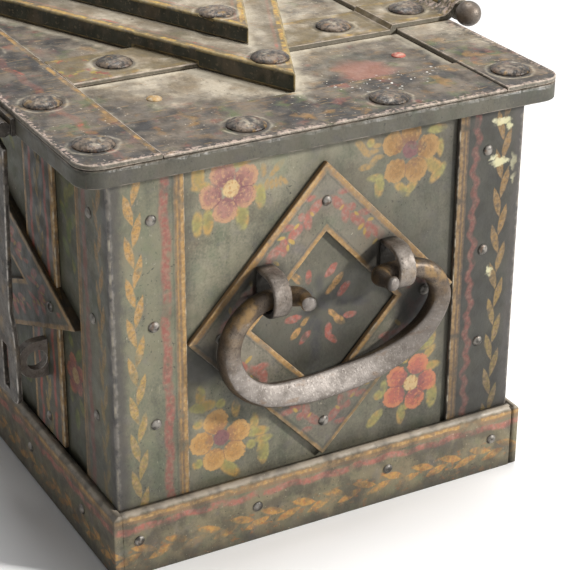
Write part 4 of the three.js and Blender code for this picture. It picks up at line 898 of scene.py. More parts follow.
def field_stud_paint():
    p = Paint("field_stud_paint")
    tone = p.noise(4, 1, detail=4.0)
    p.colour = p.mix(p.y > 0.0, 0x9A7A48, 0x9A4A3C)
    p.lay("dust", p.ramp(tone, 0.42, 0.66) * 0.5)
    p.stain((0.03, 0.026, 0.02), 0.6, 3.0, 0.2, 5, 0.05)
    p.rough(0.4, 2.2, 17, detail=3.0)
    return p.done(0.6, 0.1, 0.7)


def forged_iron(name="forged_iron", light=0x857D75, dark=0x574F48, rub=0.35):
    """Bare forged iron: pitted, rust and old ochre in the hollows, bright where hands rub it."""
    p = Paint(name)
    tone = p.noise(30, 1, detail=3.0) * 0.5 + p.noise(6, 3, detail=4.0) * 0.3 + p.noise(1.6, 4, detail=3.0) * 0.2
    p.colour = p.mix(p.ramp(tone, 0.38, 0.62), dark, light)
    p.stain(0x5A4835, 0.5, 24, 0.36, 5, 0.14, detail=4.0)
    p.stain(0x8F7448, 0.45, 18, 0.2, 9, 0.1, detail=4.0)
    pits = p.blotch(2.0, 0.16, 11, 0.05, detail=3.0)
    p.lay((0.035, 0.03, 0.026), pits * 0.55)
    p.lay(0xBDB8B2, p.blotch(5.0, rub * 0.4, 13, 0.08, detail=4.0) * rub)
    p.rough(0.8, 12, 15, detail=3.0)
    p.raised(pits * -0.22)
    p.rough(0.2, 1.3, 17, detail=3.0)
    worn_edges(p, 0xB0AAA3, 0.5)
    return p, tone


def loop_iron():
    p, tone = forged_iron()
    # Painted shade on the loop's inner faces and on its legs and foot plate by the wall; the inner faces are also
    # rougher
    inner = p.ramp(p.distance(p.place(abs(p.x), p.z), LOOP_AXIS), 14.6, 13.0)
    p.shade(p.ramp(abs(p.x), 360.0, 353.5).high(inner) * (abs(p.y) < 80.0) * (p.z < 240.0) * 0.93)
    return p.done(p.spread(tone, 0.6, 0.46).high(inner), 0.5, 0.9)


def plain_iron(*looks):
    p, tone = forged_iron(*looks)
    return p.done(p.spread(tone, 0.56, 0.42), 0.55, 0.9)


def handle_iron():
    """Forged iron, bright on the grip's outer face where the hand wears it and with a painted highlight there, with
    painted shade on the side towards the wall.
    """
    p, tone = forged_iron("handle_iron", 0x6C6053, 0x40372F, 0.2)
    p.stain(0x3A2E24, 0.6, 8, 0.5, 29, 0.12, detail=5.0)
    p.stain((0.02, 0.016, 0.013), 0.6, 1.6, 0.3, 33, 0.05, detail=3.0)
    ends = p.ramp(p.z + p.noise(16, 25, detail=3.0) * 20.0, 178.0, 200.0)
    p.lay(0x8A6D42, ends * p.blotch(11, 0.4, 27, 0.1, detail=4.0) * 0.7)
    grain = p.noise(9, 23, stretch=(1, 0.5, 1), detail=5.0, roughness=0.55)
    bright = p.mix(p.ramp(grain, 0.34, 0.66), 0x625B55, 0x837C76)
    bright = p.mix(p.blotch(1.8, 0.3, 37, 0.06, detail=3.0) * 0.5, bright, 0xA19A93)
    bright = p.mix(p.blotch(5, 0.24, 35, 0.06, stretch=(1, 0.4, 1), detail=4.0) * 0.5, bright, 0x6B543F)
    # The grip's outer face: worn bright by the hand, with a painted highlight that has painted shade towards the
    # back; then painted shade on the side facing the wall
    bright = p.mix(p.ramp(mirrored_y(p), -5.0, 70.0) * 0.5, bright, 0x4C453F)
    p.lay(bright, p.ramp(p.attribute("grip") + (grain - 0.5) * 0.3, 0.35, 0.65) * 0.95)
    p.shade(p.attribute("back") * 0.7)
    return p.done(p.spread(tone, 0.58, 0.44), 0.45, 0.8)


def sheet_iron():
    p = Paint("sheet_iron")
    tone = p.noise(34, 1, detail=4.0) * 0.6 + p.noise(5, 3, detail=4.0) * 0.4
    p.colour = p.mix(p.ramp(tone, 0.36, 0.62), 0x35302A, 0x6A6259)
    p.stain("rust", 0.6, 24, 0.4, 5, 0.14, detail=5.0)
    p.stain(0x3A2A20, 0.6, 6, 0.2, 9, 0.06, detail=4.0)
    p.rough(0.8, 20, 15, detail=3.0)
    p.rough(0.22, 2, 17, detail=3.0)
    worn_edges(p, 0x9C958C, 0.5)
    return p.done(p.spread(tone, 0.6, 0.42), 0.6, 0.8)


def filed_steel():
    p = Paint("filed_steel")
    marks = p.noise(1.1, 1, stretch=(1, 0.08, 1), detail=3.0)
    tone = p.noise(22, 3, detail=3.0) * 0.6 + marks * 0.4
    p.colour = p.mix(p.ramp(tone, 0.3, 0.7), 0x6A6764, 0x8C8986)
    p.stain("rust", 0.35, 40, 0.3, 5, 0.2, detail=4.0)
    p.raised(marks * 0.1)
    p.rough(0.35, 16, 17, detail=2.0)
    worn_edges(p, 0xB9B6B2, 0.6)
    return p.done(p.spread(tone, 0.45, 0.3), 0.85, 0.7)


# Finish, and the record's material slot that it belongs to
FINISHES = {
    "end": (end_paint, "paint"),
    "front": (front_paint, "paint"),
    "strap": (strap_paint, "strap"),
    "upright": (upright_paint, "strap"),
    "plinth": (plinth_paint, "plinth"),
    "end_frame": (end_frame_paint, "strap"),
    "front_frame": (front_frame_paint, "strap"),
    "lid": (lid_paint, "lid_paint"),
    "rim": (rim_paint, "lid_paint"),
    "lower_tier": (lambda: tier_paint("lower_tier_paint", LOWER_TIER), "lid_paint"),
    "upper_tier": (lambda: tier_paint("upper_tier_paint", UPPER_TIER), "lid_paint"),
    "boss": (boss_paint, "lid_paint"),
    "stud": (stud_paint, "bare_iron"),
    "field_stud": (field_stud_paint, "lid_paint"),
    "loop": (loop_iron, "bare_iron"),
    "handle": (handle_iron, "bare_iron"),
    "pin": (lambda: plain_iron("pin_iron", 0x6A625A, 0x443D37, 0.2), "bare_iron"),
    "black": (lambda: plain_iron("blackened_iron", 0x5A544D, 0x2A2622, 0.3), "dark_iron"),
    "sheet": (sheet_iron, "dark_iron"),
    "steel": (filed_steel, "lock_steel"),
}
made_materials = {}


def material_of(name):
    """The material of a finish, made when it is first asked for."""
    if name not in made_materials:
        made_materials[name] = FINISHES[name][0]()
    return made_materials[name]


def finish(piece, name):
    """Gives a piece its material."""
    piece.data.materials.clear()
    piece.data.materials.append(material_of(name))


# Rivet heads: node, foot, direction, radius and height


def rivet_table():
    rows = []

    def add(node, spots, way, size=STUD):
        rows.extend((node, spot, way, *size) for spot in spots)

    heights = (114.0, 190.0, 269.0)
    tips = ((-83.7, 0), (83.7, 0), (0, -87.7), (0, 87.7))
    for end, ex in ENDS.items():
        for side, sy in SIDES.items():
            node = f"corner_strap_{side}_{end}"
            add(node, [(ex * 350.0, sy * 134.0, z) for z in heights], (ex, 0, 0))
            add(node, [(ex * 319.0, sy * 165.0, z) for z in heights], (0, sy, 0))
        add(f"plinth_{end}", [(ex * 357.3, ex * y, 28.0) for y in (-153.0, -58.1, 53.0, 147.0)], (ex, 0, 0))
        add(f"{end}_lozenge_frame", [(ex * 350.5, y, FRAME_Z + z) for y, z in tips], (ex, 0, 0))
        add(f"front_upright_{end}", [(ex * UPRIGHT_X, -165.0, z) for z in (295.5, 66.3)], (0, -1, 0))
        add(f"back_strap_{end}", [(ex * HINGE_X, 165.0, z) for z in (66.3, FRAME_Z, 248.0)], (0, 1, 0))
        add(f"lid_{end}_border", [(ex * 341.0, y, 319.3) for y in (-58, 54)], UP, BOSS)
        add(f"front_cross_strap_{end}", [(ex * HINGE_X, -86.0, 320.6)], UP, BOSS)
        add(f"hinge_strap_{end}", [(ex * HINGE_X, 164.0, 324.7), (ex * HINGE_X, 98.0, 320.6)], UP, BOSS)
        add("lower_lozenge", [(ex * 259.5, TIER_Y, 332.1)], UP, BOSS)
        add("upper_lozenge", [(ex * 184.5, TIER_Y - 5.0, 345.4), (0, TIER_Y + ex * 78.0, 345.4)], UP, BOSS)
        add("lid_plate", [(ex * 260.0, y, 316.8) for y in (-88, 112)], UP, (6.0, 2.8))
        add("lid_front_border", [(ex * x, -164.0, 320.9) for x in (121, 242, 330)], UP, BOSS)
        add("lid_back_border", [(ex * x, 160.0, 320.9) for x in (62.5, 335)], UP, BOSS)
    add("lid_front_border", [(0.0, -164.0, 320.9)], UP, BOSS)
    for side, sy in SIDES.items():
        add(f"plinth_{side}", [(i * 100.0, sy * 172.3, 28.0) for i in range(-3, 4)], (0, sy, 0))
    tips = ((-249.0, 0), (249.0, 0), (0, -96.7), (0, 96.7))
    add("front_lozenge_frame", [(x, -169.0, FRAME_Z + z) for x, z in tips], (0, -1, 0))
    return rows


# Pieces


def body_of(node):
    """The moving body that a node rides on."""
    return next(body for body, nodes in frame["record"]["behaviour"]["bodies"].items() if node in nodes)


def clean_copy(node):
    """The node's mesh as one closed skin of large flat faces, without its rivet heads."""
    bm = bmesh.new()
    bm.from_mesh(frame["nodes"][node].data)
    bmesh.ops.remove_doubles(bm, verts=bm.verts, dist=3e-6)
    for holder, foot, way, radius, height in rivet_table():
        if holder != node:
            continue
        foot, way = Vector(foot) * MM, Vector(way)
        head = []
        for vert in bm.verts:
            away = vert.co - foot
            rise = away.dot(way)
            if 0.0001 < rise < (height + 0.4) * MM and (away - way * rise).length < (radius + 0.3) * MM:
                head.append(vert)
        bmesh.ops.delete(bm, geom=head, context="VERTS")
        rim = [edge for edge in bm.edges if edge.is_boundary]
        bmesh.ops.holes_fill(bm, edges=rim, sides=0)
    bmesh.ops.recalc_face_normals(bm, faces=bm.faces)
    bmesh.ops.dissolve_limit(bm, angle_limit=math.radians(1.0), verts=bm.verts, edges=bm.edges)
    return bm


def sharp_edges(bm, angle):
    """The edges whose faces turn by more than an angle in degrees."""
    limit = math.radians(angle)
    return [edge for edge in bm.edges if len(edge.link_faces) == 2 and edge.calc_face_angle(0) > limit]


def evaluate(piece):
    """Makes the piece's modifiers part of its mesh."""
    graph = bpy.context.evaluated_depsgraph_get()
    mesh = bpy.data.meshes.new_from_object(piece.evaluated_get(graph), preserve_all_data_layers=True, depsgraph=graph)
    old = piece.data
    piece.modifiers.clear()
    piece.data = mesh
    mesh.name = piece.name
    bpy.data.meshes.remove(old)


def subdivide(piece, levels):
    smooth = piece.modifiers.new("smooth", "SUBSURF")
    smooth.levels = smooth.render_levels = levels
    evaluate(piece)


def linked(name, mesh):
    """A new object in the scene."""
    piece = bpy.data.objects.new(name, mesh)
    bpy.context.scene.collection.objects.link(piece)
    return piece


def piece_from(bm, name):
    """A smooth-shaded object from a finished bmesh."""
    for face in bm.faces:
        face.smooth = True
    mesh = bpy.data.meshes.new(name)
    bm.to_mesh(mesh)
    bm.free()
    return linked(name, mesh)


def stand_in(piece, node, material):
    """Gives the piece its material, and puts it on the node's body in the node's place."""
    finish(piece, material)
    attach(piece, body_of(node))
    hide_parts(node)


def overfilled(bm):
    """Whether a face's triangles cover more than the face, as they do where rounded edges cross."""
    covered = {}
    for loops in bm.calc_loop_triangles():
        a, b, c = (loop.vert.co for loop in loops)
        face = loops[0].face
        covered[face] = covered.get(face, 0.0) + (b - a).cross(c - a).length / 2
    return any(area > face.calc_area() * 1.02 + 8e-6 for face, area in covered.items())


def rounded_copy(node, rounding, keep):
    """The node's clean copy with rounded edges, marked with the face attribute edge."""
    bm = clean_copy(node)
    edge = bm.faces.layers.float.new("edge")
    worn = sharp_edges(bm, 42.0)
    if keep:
        worn = [line for line in worn if not all(keep(vert.co / MM) for vert in line.verts)]
    made = bmesh.ops.bevel(bm, geom=worn, offset=rounding, segments=2, profile=0.5, affect="EDGES")
    for face in made["faces"]:
        face[edge] = 1.0
    return bm


def worn_plate(node, material, rounding, keep=None):
    """A node with worn, rounded edges, which are marked for the paint; keep tells where edges stay sharp.

    Where edges lie too close for the rounding, it is made smaller or left out.
    """
    for share in (1.0, 0.7, 0.45, 0.25, 0.1):
        bm = rounded_copy(node, rounding * share, keep)
        if not overfilled(bm):
            break
        bm.free()
    else:
        bm = clean_copy(node)
    piece = piece_from(bm, "worn_" + node)
    piece.modifiers.new("normals", "WEIGHTED_NORMAL")
    evaluate(piece)
    stand_in(piece, node, material)


def plinth_joint(point):
    """Where the plinth's bands meet at the corners."""
    return abs(abs(point.y) - 165.2) < 0.7 and abs(point.x) > 349.5


def dent(piece, depth, sizes):
    """Hammer dents of two sizes: moves each point along its normal by a steady noise."""
    mesh = piece.data
    normals = [vert.normal.copy() for vert in mesh.vertices]
    for vert, normal in zip(mesh.vertices, normals):
        deep = noise.noise(vert.co / sizes[0]) + 0.45 * noise.noise(vert.co / sizes[1] + Vector((7, 3, 5)))
        vert.co += normal * (deep * depth)
    mesh.update()


def forged_pin(node, settings):
    """A hinge pin as a smooth forging, swelled to keep its size when it is subdivided."""
    bm = clean_copy(node)
    bm.normal_update()
    crease = bm.edges.layers.float.new("crease_edge")
    for edge in sharp_edges(bm, 50.0):
        edge[crease] = 0.75
    for vert in bm.verts:
        vert.co += vert.normal * 0.0002
    piece = piece_from(bm, "forged_" + node)
    subdivide(piece, 2)
    dent(piece, settings.forge_dents * 0.3, (0.022, 0.007))
    stand_in(piece, node, "pin")


def tube(bm, rings):
    """Faces between rings of points that follow one another."""
    for first, second in zip(rings, rings[1:]):
        count = len(first)
        for i in range(count):
            j = (i + 1) % count
            bm.faces.new((first[i], first[j], second[j], second[i]))


def band(bm, path, width, thick, rounding):
    """A flat bar of rounded section along a path of points and outward normals, with its width along Y."""
    corners = []
    for cy, cn, start in ((1, 1, 0), (-1, 1, 90), (-1, -1, 180), (1, -1, 270)):
        for step in (0, 45, 90):
            a = math.radians(start + step)
            along = cy * (width / 2 - rounding) + rounding * math.cos(a)
            corners.append((along, cn * (thick / 2 - rounding) + rounding * math.sin(a)))
    rings = []
    for point, normal in path:
        rings.append([bm.verts.new((point + Vector((0, a, 0)) + normal * b) * MM) for a, b in corners])
    tube(bm, rings)
    bm.faces.new(rings[0])
    bm.faces.new(list(reversed(rings[-1])))


# Centre line of a handle from one tip to the other, in millimetres from its pivot
BAIL = (
    (23.4, -34, 2.5), (13, -32, 2), (4, -34.5, 1), (0, -42, 0), (0, -57, 0.3), (0, -70, -6), (0, -80, -18),
    (0, -84.5, -36), (0, -77, -57.5), (0, -58, -72.5), (0, -27, -77.5), (0, 2, -76.5), (0, 30, -72.5),
    (0, 56, -63.5), (0, 77, -48.5), (0, 88, -27.5), (0, 82, -10), (0, 70, -2), (0, 57, 0.3), (0, 42, 0),
    (4, 34.5, 1), (13, 32, 2), (23.4, 34, 2.5),
)


def smooth_line(points, count):
    """Evenly spaced points on a curve through the given ones."""
    points = [Vector(point) for point in points]
    padded = [points[0] * 2 - points[1], *points, points[-1] * 2 - points[-2]]
    fine = []
    for a, b, c, d in zip(padded, padded[1:], padded[2:], padded[3:]):
        t0, t1 = 0.0, (b - a).length ** 0.5
        t2 = t1 + (c - b).length ** 0.5
        t3 = t2 + (d - c).length ** 0.5
        for step in range(24):
            t = t1 + (t2 - t1) * step / 24
            ab = a + (b - a) * ((t - t0) / (t1 - t0))
            bc = b + (c - b) * ((t - t1) / (t2 - t1))
            cd = c + (d - c) * ((t - t2) / (t3 - t2))
            abc = ab + (bc - ab) * ((t - t0) / (t2 - t0))
            bcd = bc + (cd - bc) * ((t - t1) / (t3 - t1))
            fine.append(abc + (bcd - abc) * ((t - t1) / (t2 - t1)))
    fine.append(points[-1])
    reach = [0.0]
    for first, second in zip(fine, fine[1:]):
        reach.append(reach[-1] + (second - first).length)
    line, at = [], 0
    for step in range(count):
        goal = reach[-1] * step / (count - 1)
        while at < len(fine) - 2 and reach[at + 1] < goal:
            at += 1
        share = (goal - reach[at]) / max(reach[at + 1] - reach[at], 1e-9)
        line.append(fine[at].lerp(fine[at + 1], min(share, 1.0)))
    return line, reach[-1]


def step_up(value, start, end):
    """Runs smoothly from 0 to 1 between start and end."""
    share = min(max((value - start) / (end - start), 0.0), 1.0)
    return share * share * (3 - 2 * share)


def handle_frames(line):
    """The two directions across a handle's bar at each point, carried from its middle to both tips."""
    middle, last = len(line) // 2, len(line) - 1
    frames = {}
    for spots in (range(middle, last + 1), range(middle, -1, -1)):
        across = Vector((1, 0, 0))
        for i in spots:
            ahead = (line[min(i + 1, last)] - line[max(i - 1, 0)]).normalized()
            across = (across - ahead * across.dot(ahead)).normalized()
            frames[i] = (across, ahead.cross(across))
    return frames


def forged_handle(node, settings):
    """A swinging handle: an uneven bar, flattened at the grip, with necked and battered tips."""
    count, sides = 181, 24
    line, length = smooth_line(BAIL, count)
    frames = handle_frames(line)
    bm = bmesh.new()
    # grip marks the battered tips and the grip's outer face, which is worn bright and carries a painted highlight;
    # back marks the side facing the wall, for painted shade
    grip = bm.verts.layers.float.new("grip")
    back = bm.verts.layers.float.new("back")
    rings = []
    for i, spot in enumerate(line):
        from_tip = min(i, count - 1 - i) * length / (count - 1)
        share = i / (count - 1)
        held = max(math.sin(math.pi * share), 0.0) ** 6
        radius = 4.4 + 2.5 * step_up(from_tip, 5, 20) + 0.3 * step_up(from_tip, 40, 90)
        radius += 1.4 * (1 - step_up(from_tip, 1.4, 5.0))
        if from_tip < 0.6:
            radius -= 1.2
        high, deep = radius + 2.6 * held, radius + 0.2 * held
        # The section grows from round to square, and turns, towards the grip
        squared = held**0.6
        turn, power = math.radians(-30) * squared, 2.0 / (2.3 + 4.5 * squared)
        across, up = frames[i]
        ring = []
        for k in range(sides):
            a = 2 * math.pi * k / sides
            facing = math.cos(a)
            u = math.copysign(abs(facing) ** power, facing) * deep
            v = math.copysign(abs(math.sin(a)) ** power, math.sin(a)) * high
            u, v = u * math.cos(turn) - v * math.sin(turn), v * math.cos(turn) + u * math.sin(turn)
            vert = bm.verts.new(spot + across * u + up * v)
            vert[grip] = held**0.3 * step_up(facing, 0.3, 0.7) if from_tip > 8 else 1 - step_up(from_tip, 0.8, 2.0)
            vert[back] = step_up(-facing, -0.4, 0.5)
            ring.append(vert)
        rings.append(ring)
    tube(bm, rings)
    for ring, spot, way in ((rings[0], line[0], line[0] - line[3]), (rings[-1], line[-1], line[-1] - line[-4])):
        inner = [bm.verts.new(spot + (vert.co - spot) * 0.5 + way.normalized() * 0.5) for vert in ring]
        for vert in inner:
            vert[grip] = 1.0
        tube(bm, (ring, inner))
        bm.faces.new(inner)
    end = -1 if node.startswith("left") else 1
    for vert in bm.verts:
        moved = (vert.co + Vector((LOOP_AXIS[0], 0, LOOP_AXIS[1]))) * MM
        vert.co = (moved.x * end, moved.y * end, moved.z)
    bmesh.ops.recalc_face_normals(bm, faces=bm.faces)
    piece = piece_from(bm, "forged_" + node)
    dent(piece, settings.forge_dents * 0.32, (0.03, 0.009))
    stand_in(piece, node, "handle")


def handle_loop(node, settings):
    """A pivot loop: a flat bar bent to a D, its feet through the frame, and its foot plate."""
    low, high = (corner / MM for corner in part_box(node))
    middle = (low + high) / 2
    end = 1 if middle.x > 0 else -1
    radius = 14.75
    legs = [350.8 + 2.74 * step for step in range(5)]
    path = [(Vector((x, 0, -radius)), Vector((0, 0, -1))) for x in legs]
    for step in range(25):
        a = math.radians(-90 + step * 7.5)
        way = Vector((math.cos(a), 0, math.sin(a)))
        path.append((Vector((LOOP_AXIS[0], 0, 0)) + way * radius, way))
    path += [(Vector((x, 0, radius)), Vector((0, 0, 1))) for x in reversed(legs)]
    bm = bmesh.new()
    band(bm, path, 13.4, 4.3, 1.3)
    plate = [(Vector((351.9, 0, z)), Vector((1, 0, 0))) for z in (-15.5, -8, 0, 8, 15.5)]
    band(bm, plate, 13.0, 1.9, 0.6)
    for vert in bm.verts:
        x, y, z = vert.co
        vert.co = (x * end, y * end + middle.y * MM, z + middle.z * MM)
    bmesh.ops.recalc_face_normals(bm, faces=bm.faces)
    piece = piece_from(bm, "forged_" + node)
    subdivide(piece, 1)
    dent(piece, settings.forge_dents * 0.28, (0.016, 0.006))
    stand_in(piece, node, "loop")


def rivet_tree():
    """Geometry nodes: one dented dome on each point, sized and turned by the point's attributes."""
    tree = bpy.data.node_groups.new("rivet_heads", "GeometryNodeTree")
    tree.is_modifier = True
    for name, way, kind in (
        ("Places", "INPUT", "Geometry"),
        ("Dents", "INPUT", "Float"),
        ("Dent size", "INPUT", "Float"),
        ("Material", "INPUT", "Material"),
        ("Heads", "OUTPUT", "Geometry"),
    ):
        tree.interface.new_socket(name, in_out=way, socket_type="NodeSocket" + kind)

    def node(kind, inputs=None, **settings):
        return add_node(tree, kind, inputs, settings).outputs

    def number(name, kind="FLOAT"):
        return node("GeometryNodeInputNamedAttribute", {"Name": name}, data_type=kind)[0]

    entry = node("NodeGroupInput")
    ball = node("GeometryNodeMeshUVSphere", {"Segments": 20, "Rings": 12, "Radius": 1.0})[0]
    place = node("GeometryNodeInputPosition")[0]
    x, y, z = node("ShaderNodeSeparateXYZ", {0: place})
    # The ball's lower half is pressed flat
    pressed = node("ShaderNodeMath", {0: z, 1: 0.14}, operation="MULTIPLY")[0]
    level = node("ShaderNodeMath", {0: z, 1: pressed}, operation="MAXIMUM")[0]
    flat = node("ShaderNodeCombineXYZ", {0: x, 1: y, 2: level})[0]
    dome = node("GeometryNodeSetPosition", {"Geometry": ball, "Position": flat})[0]
    size = node("ShaderNodeCombineXYZ", {0: number("radius"), 1: number("radius"), 2: number("height")})[0]
    aim = node("FunctionNodeAlignRotationToVector", {"Vector": number("way", "FLOAT_VECTOR")}, axis="Z")[0]
    inputs = {"Points": entry["Places"], "Instance": dome, "Rotation": aim, "Scale": size}
    heads = node("GeometryNodeInstanceOnPoints", inputs)[0]
    real = node("GeometryNodeRealizeInstances", {0: heads})[0]
    inputs = {"Vector": place, "Scale": entry["Dent size"], "Detail": 1.0}
    lift = node("ShaderNodeMath", {0: node("ShaderNodeTexNoise", inputs)[0], 1: 0.5}, operation="SUBTRACT")[0]
    depth = node("ShaderNodeMath", {0: lift, 1: entry["Dents"]}, operation="MULTIPLY")[0]
    normal = node("GeometryNodeInputNormal")[0]
    push = node("ShaderNodeVectorMath", {0: normal, "Scale": depth}, operation="SCALE")[0]
    dented = node("GeometryNodeSetPosition", {"Geometry": real, "Offset": push})[0]
    smooth = node("GeometryNodeSetShadeSmooth", {0: dented})[0]
    final = node("GeometryNodeSetMaterial", {0: smooth, "Material": entry["Material"]})[0]
    node("NodeGroupOutput", {0: final})
    return tree


def rivet_heads(name, body, material, rows, dents, size):
    """All the heads of one kind on one body, as one piece; size is that of the dents, larger for finer ones."""
    mesh = bpy.data.meshes.new(name)
    mesh.from_pydata([Vector(foot) * MM for _, foot, _, _, _ in rows], [], [])
    for attribute, column, most, least in (("radius", 3, 1.0, 0.9), ("height", 4, 0.86, 0.64)):
        made = mesh.attributes.new(attribute, "FLOAT", "POINT")
        shares = [0.5 + 0.5 * noise.noise(Vector(row[1]) * 0.37 + Vector((column, 0, 0))) for row in rows]
        values = [row[column] * MM * (least + (most - least) * share) for row, share in zip(rows, shares)]
        made.data.foreach_set("value", values)
    way = mesh.attributes.new("way", "FLOAT_VECTOR", "POINT")
    way.data.foreach_set("vector", [part for row in rows for part in row[2]])
    piece = linked(name, mesh)
    tree = bpy.data.node_groups.get("rivet_heads") or rivet_tree()
    modifier = piece.modifiers.new("heads", "NODES")
    modifier.node_group = tree
    values = {"Dents": dents, "Dent size": size, "Material": material_of(material)}
    for item in tree.interface.items_tree:
        if item.in_out == "INPUT" and item.name in values:
            modifier[item.identifier] = values[item.name]
    evaluate(piece)
    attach(piece, body)


# Operators


class STRONGBOX_OT_walls(bpy.types.Operator):
    """Worn walls, straps, plinth and frames of the chest"""

    bl_idname = "strongbox.walls"
    bl_label = "Walls and straps"
    bl_options = {"REGISTER", "UNDO"}

    def execute(self, context):
        r = context.scene.strongbox.edge_round
        worn_plate("bottom_plate", "sheet", r)
        for side in SIDES:
            worn_plate(f"{side}_panel", "front", r)
            worn_plate(f"plinth_{side}", "plinth", r, keep=plinth_joint)
            worn_plate(f"mouth_rim_{side}", "sheet", r)
        for end in ENDS:
            worn_plate(f"{end}_end_panel", "end", r)
            worn_plate(f"plinth_{end}", "plinth", r, keep=plinth_joint)
            worn_plate(f"mouth_rim_{end}", "sheet", r)
            worn_plate(f"{end}_lozenge_frame", "end_frame", r)
            worn_plate(f"front_upright_{end}", "upright", r)
            worn_plate(f"back_strap_{end}", "upright", r)
            for side in SIDES:
                worn_plate(f"corner_strap_{side}_{end}", "strap", r)
        worn_plate("front_lozenge_frame", "front_frame", r, keep=lambda point: point.y > -165.6)
        return {"FINISHED"}


class STRONGBOX_OT_lid(bpy.types.Operator):
    """Worn lid with its borders, straps and tiers"""

    bl_idname = "strongbox.lid"
    bl_label = "Lid"
    bl_options = {"REGISTER", "UNDO"}

    def execute(self, context):
        settings = context.scene.strongbox
        r = settings.edge_round
        worn_plate("lid_plate", "lid", r)
        worn_plate("lid_rim", "rim", r)
        for name in (*SIDES, *ENDS):
            worn_plate(f"lid_{name}_border", "lid", r)
        for end in ENDS:
            worn_plate(f"front_cross_strap_{end}", "lid", r)
            worn_plate(f"hinge_strap_{end}", "lid", r)
        worn_plate("lower_lozenge", "lower_tier", settings.tier_round)
        worn_plate("upper_lozenge", "upper_tier", settings.tier_round)
        return {"FINISHED"}


class STRONGBOX_OT_ironwork(bpy.types.Operator):
    """Forged handles, pivot loops, staples, hinge pins and keyhole cover"""

    bl_idname = "strongbox.ironwork"
    bl_label = "Ironwork"
    bl_options = {"REGISTER", "UNDO"}

    def execute(self, context):
        settings = context.scene.strongbox
        for end in ENDS:
            forged_handle(f"{end}_handle", settings)
            for side in SIDES:
                handle_loop(f"{end}_handle_loop_{side}", settings)
            forged_pin(f"hinge_pin_{end}", settings)
            worn_plate(f"hasp_staple_{end}", "loop", settings.edge_round)
        worn_plate("keyhole_cover", "loop", settings.lock_round)
        return {"FINISHED"}


class STRONGBOX_OT_lock(bpy.types.Operator):
    """Hasps, lock plate, bolts, wheel and pierced cover"""

    bl_idname = "strongbox.lock"
    bl_label = "Lock and hasps"
    bl_options = {"REGISTER", "UNDO"}

    def execute(self, context):
        settings = context.scene.strongbox
        r = settings.lock_round
        for end in ENDS:
            worn_plate(f"hasp_bracket_{end}", "black", r)
            worn_plate(f"hasp_{end}", "black", settings.edge_round)
        for name in ("lock_plate", "lock_cover", "bolt_wheel"):
            worn_plate(name, "steel", r)
        for name in (*ENDS, *SIDES):
            worn_plate(f"bolt_{name}", "steel", r)
        return {"FINISHED"}


class STRONGBOX_OT_rivets(bpy.types.Operator):
    """Domed rivet heads on the lid and studs on the chest"""

    bl_idname = "strongbox.rivets"
    bl_label = "Rivets"
    bl_options = {"REGISTER", "UNDO"}

    def execute(self, context):
        depth = context.scene.strongbox.rivet_dents
        rows = rivet_table()
        on_lid = [row for row in rows if body_of(row[0]) == "lid"]
        bosses = [row for row in on_lid if row[3:] == BOSS]
        rivet_heads("lid_bosses", "lid", "boss", bosses, depth, 110.0)
        small = [row for row in on_lid if row[3:] != BOSS]
        rivet_heads("lid_studs", "lid", "field_stud", small, depth * 0.5, 220.0)
        studs = [row for row in rows if body_of(row[0]) == "chest"]
        rivet_heads("chest_studs", "chest", "stud", studs, depth * 0.6, 260.0)
        return {"FINISHED"}


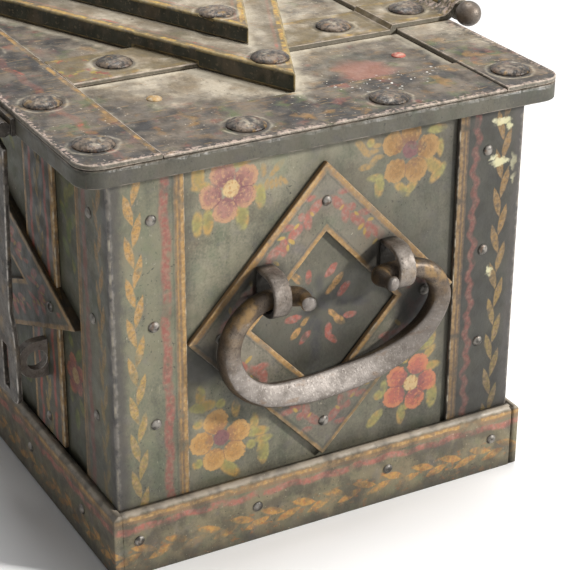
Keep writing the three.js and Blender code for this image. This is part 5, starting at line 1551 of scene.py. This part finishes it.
class STRONGBOX_OT_stage(bpy.types.Operator):
    """Camera, lamps and white floor"""

    bl_idname = "strongbox.stage"
    bl_label = "Stage"
    bl_options = {"REGISTER", "UNDO"}

    def execute(self, context):
        scene = context.scene
        scene.view_settings.view_transform = "Standard"
        data = bpy.data.cameras.new("camera")
        data.lens = 117.72
        data.sensor_width = 36.0
        camera = linked("camera", data)
        yaw, pitch, roll = 2.63815, -0.45103, 0.00628
        ahead = Vector((math.cos(yaw) * math.cos(pitch), math.sin(yaw) * math.cos(pitch), math.sin(pitch)))
        right = Vector((math.sin(yaw), -math.cos(yaw), 0))
        up = right.cross(ahead)
        across = right * math.cos(roll) + up * math.sin(roll)
        above = up * math.cos(roll) - right * math.sin(roll)
        turn = Matrix((across, above, -ahead)).transposed().to_4x4()
        camera.matrix_world = Matrix.Translation((1.3778, -0.5987, 0.7670)) @ turn
        scene.camera = camera
        for name, place, aim, size, power, tint in (
            ("key", (2.2, 1.9, 1.4), (0.2, 0, 0.2), 0.3, 116.0, (1.0, 0.98, 0.95)),
            ("top", (-0.1, 0.3, 2.3), (0.1, 0, 0.3), 1.2, 50.0, (1.0, 1.0, 1.0)),
            ("fill", (2.4, -0.5, 0.9), (0.3, 0, 0.2), 1.2, 4.0, (0.97, 0.98, 1.0)),
        ):
            lamp = bpy.data.lights.new(name, "AREA")
            lamp.shape = "DISK"
            lamp.size = size
            lamp.energy = power
            lamp.color = tint
            turn = (Vector(aim) - Vector(place)).to_track_quat("-Z", "Y").to_matrix().to_4x4()
            linked(name, lamp).matrix_world = Matrix.Translation(place) @ turn
        # A white ground that lights the object weakly, and shows whole to the camera and in reflections
        scene.world = bpy.data.worlds.new("studio")
        scene.world.use_nodes = True
        tree = scene.world.node_tree
        tree.nodes.clear()
        rays = add_node(tree, "ShaderNodeLightPath").outputs
        seen = rays["Is Camera Ray"]
        for kind in ("Is Glossy Ray", "Is Transmission Ray"):
            seen = add_node(tree, "ShaderNodeMath", {0: seen, 1: rays[kind]}, {"operation": "MAXIMUM"}).outputs[0]
        strength = add_node(tree, "ShaderNodeMapRange", {"Value": seen, "To Min": 0.13, "To Max": 1.0})
        back = add_node(tree, "ShaderNodeBackground", {"Color": (1, 1, 1, 1), "Strength": strength.outputs[0]})
        add_node(tree, "ShaderNodeOutputWorld", {0: back.outputs[0]})
        mesh = bpy.data.meshes.new("floor")
        size = 6.0
        mesh.from_pydata([(-size, -size, 0), (size, -size, 0), (size, size, 0), (-size, size, 0)], [], [(0, 1, 2, 3)])
        floor = linked("floor", mesh)
        floor.location.z = -0.0005
        p = Paint("floor_white")
        p.colour = (0.9, 0.9, 0.9)
        p.lay((0.92, 0.92, 0.92), p.noise(300, 1))
        mesh.materials.append(p.done(0.9))
        return {"FINISHED"}


OPERATORS = (
    STRONGBOX_OT_walls,
    STRONGBOX_OT_lid,
    STRONGBOX_OT_ironwork,
    STRONGBOX_OT_lock,
    STRONGBOX_OT_rivets,
    STRONGBOX_OT_stage,
)


class STRONGBOX_PT_panel(bpy.types.Panel):
    """The strongbox's operators and settings"""

    bl_idname = "STRONGBOX_PT_panel"
    bl_label = "Strongbox"
    bl_space_type = "VIEW_3D"
    bl_region_type = "UI"
    bl_category = "Strongbox"

    def draw(self, context):
        settings = context.scene.strongbox
        for name in settings.bl_rna.properties.keys():
            if name not in ("rna_type", "name"):
                self.layout.prop(settings, name)
        for operator in OPERATORS:
            self.layout.operator(operator.bl_idname)


CLASSES = (StrongboxSettings, *OPERATORS, STRONGBOX_PT_panel)


def register():
    for cls in CLASSES:
        bpy.utils.register_class(cls)
    bpy.types.Scene.strongbox = bpy.props.PointerProperty(type=StrongboxSettings)


def unregister():
    del bpy.types.Scene.strongbox
    for cls in reversed(CLASSES):
        bpy.utils.unregister_class(cls)


def main():
    register()
    bpy.ops.strongbox.walls()
    bpy.ops.strongbox.lid()
    bpy.ops.strongbox.ironwork()
    bpy.ops.strongbox.lock()
    bpy.ops.strongbox.rivets()
    bpy.ops.strongbox.stage()


if __name__ == "__main__":
    main()
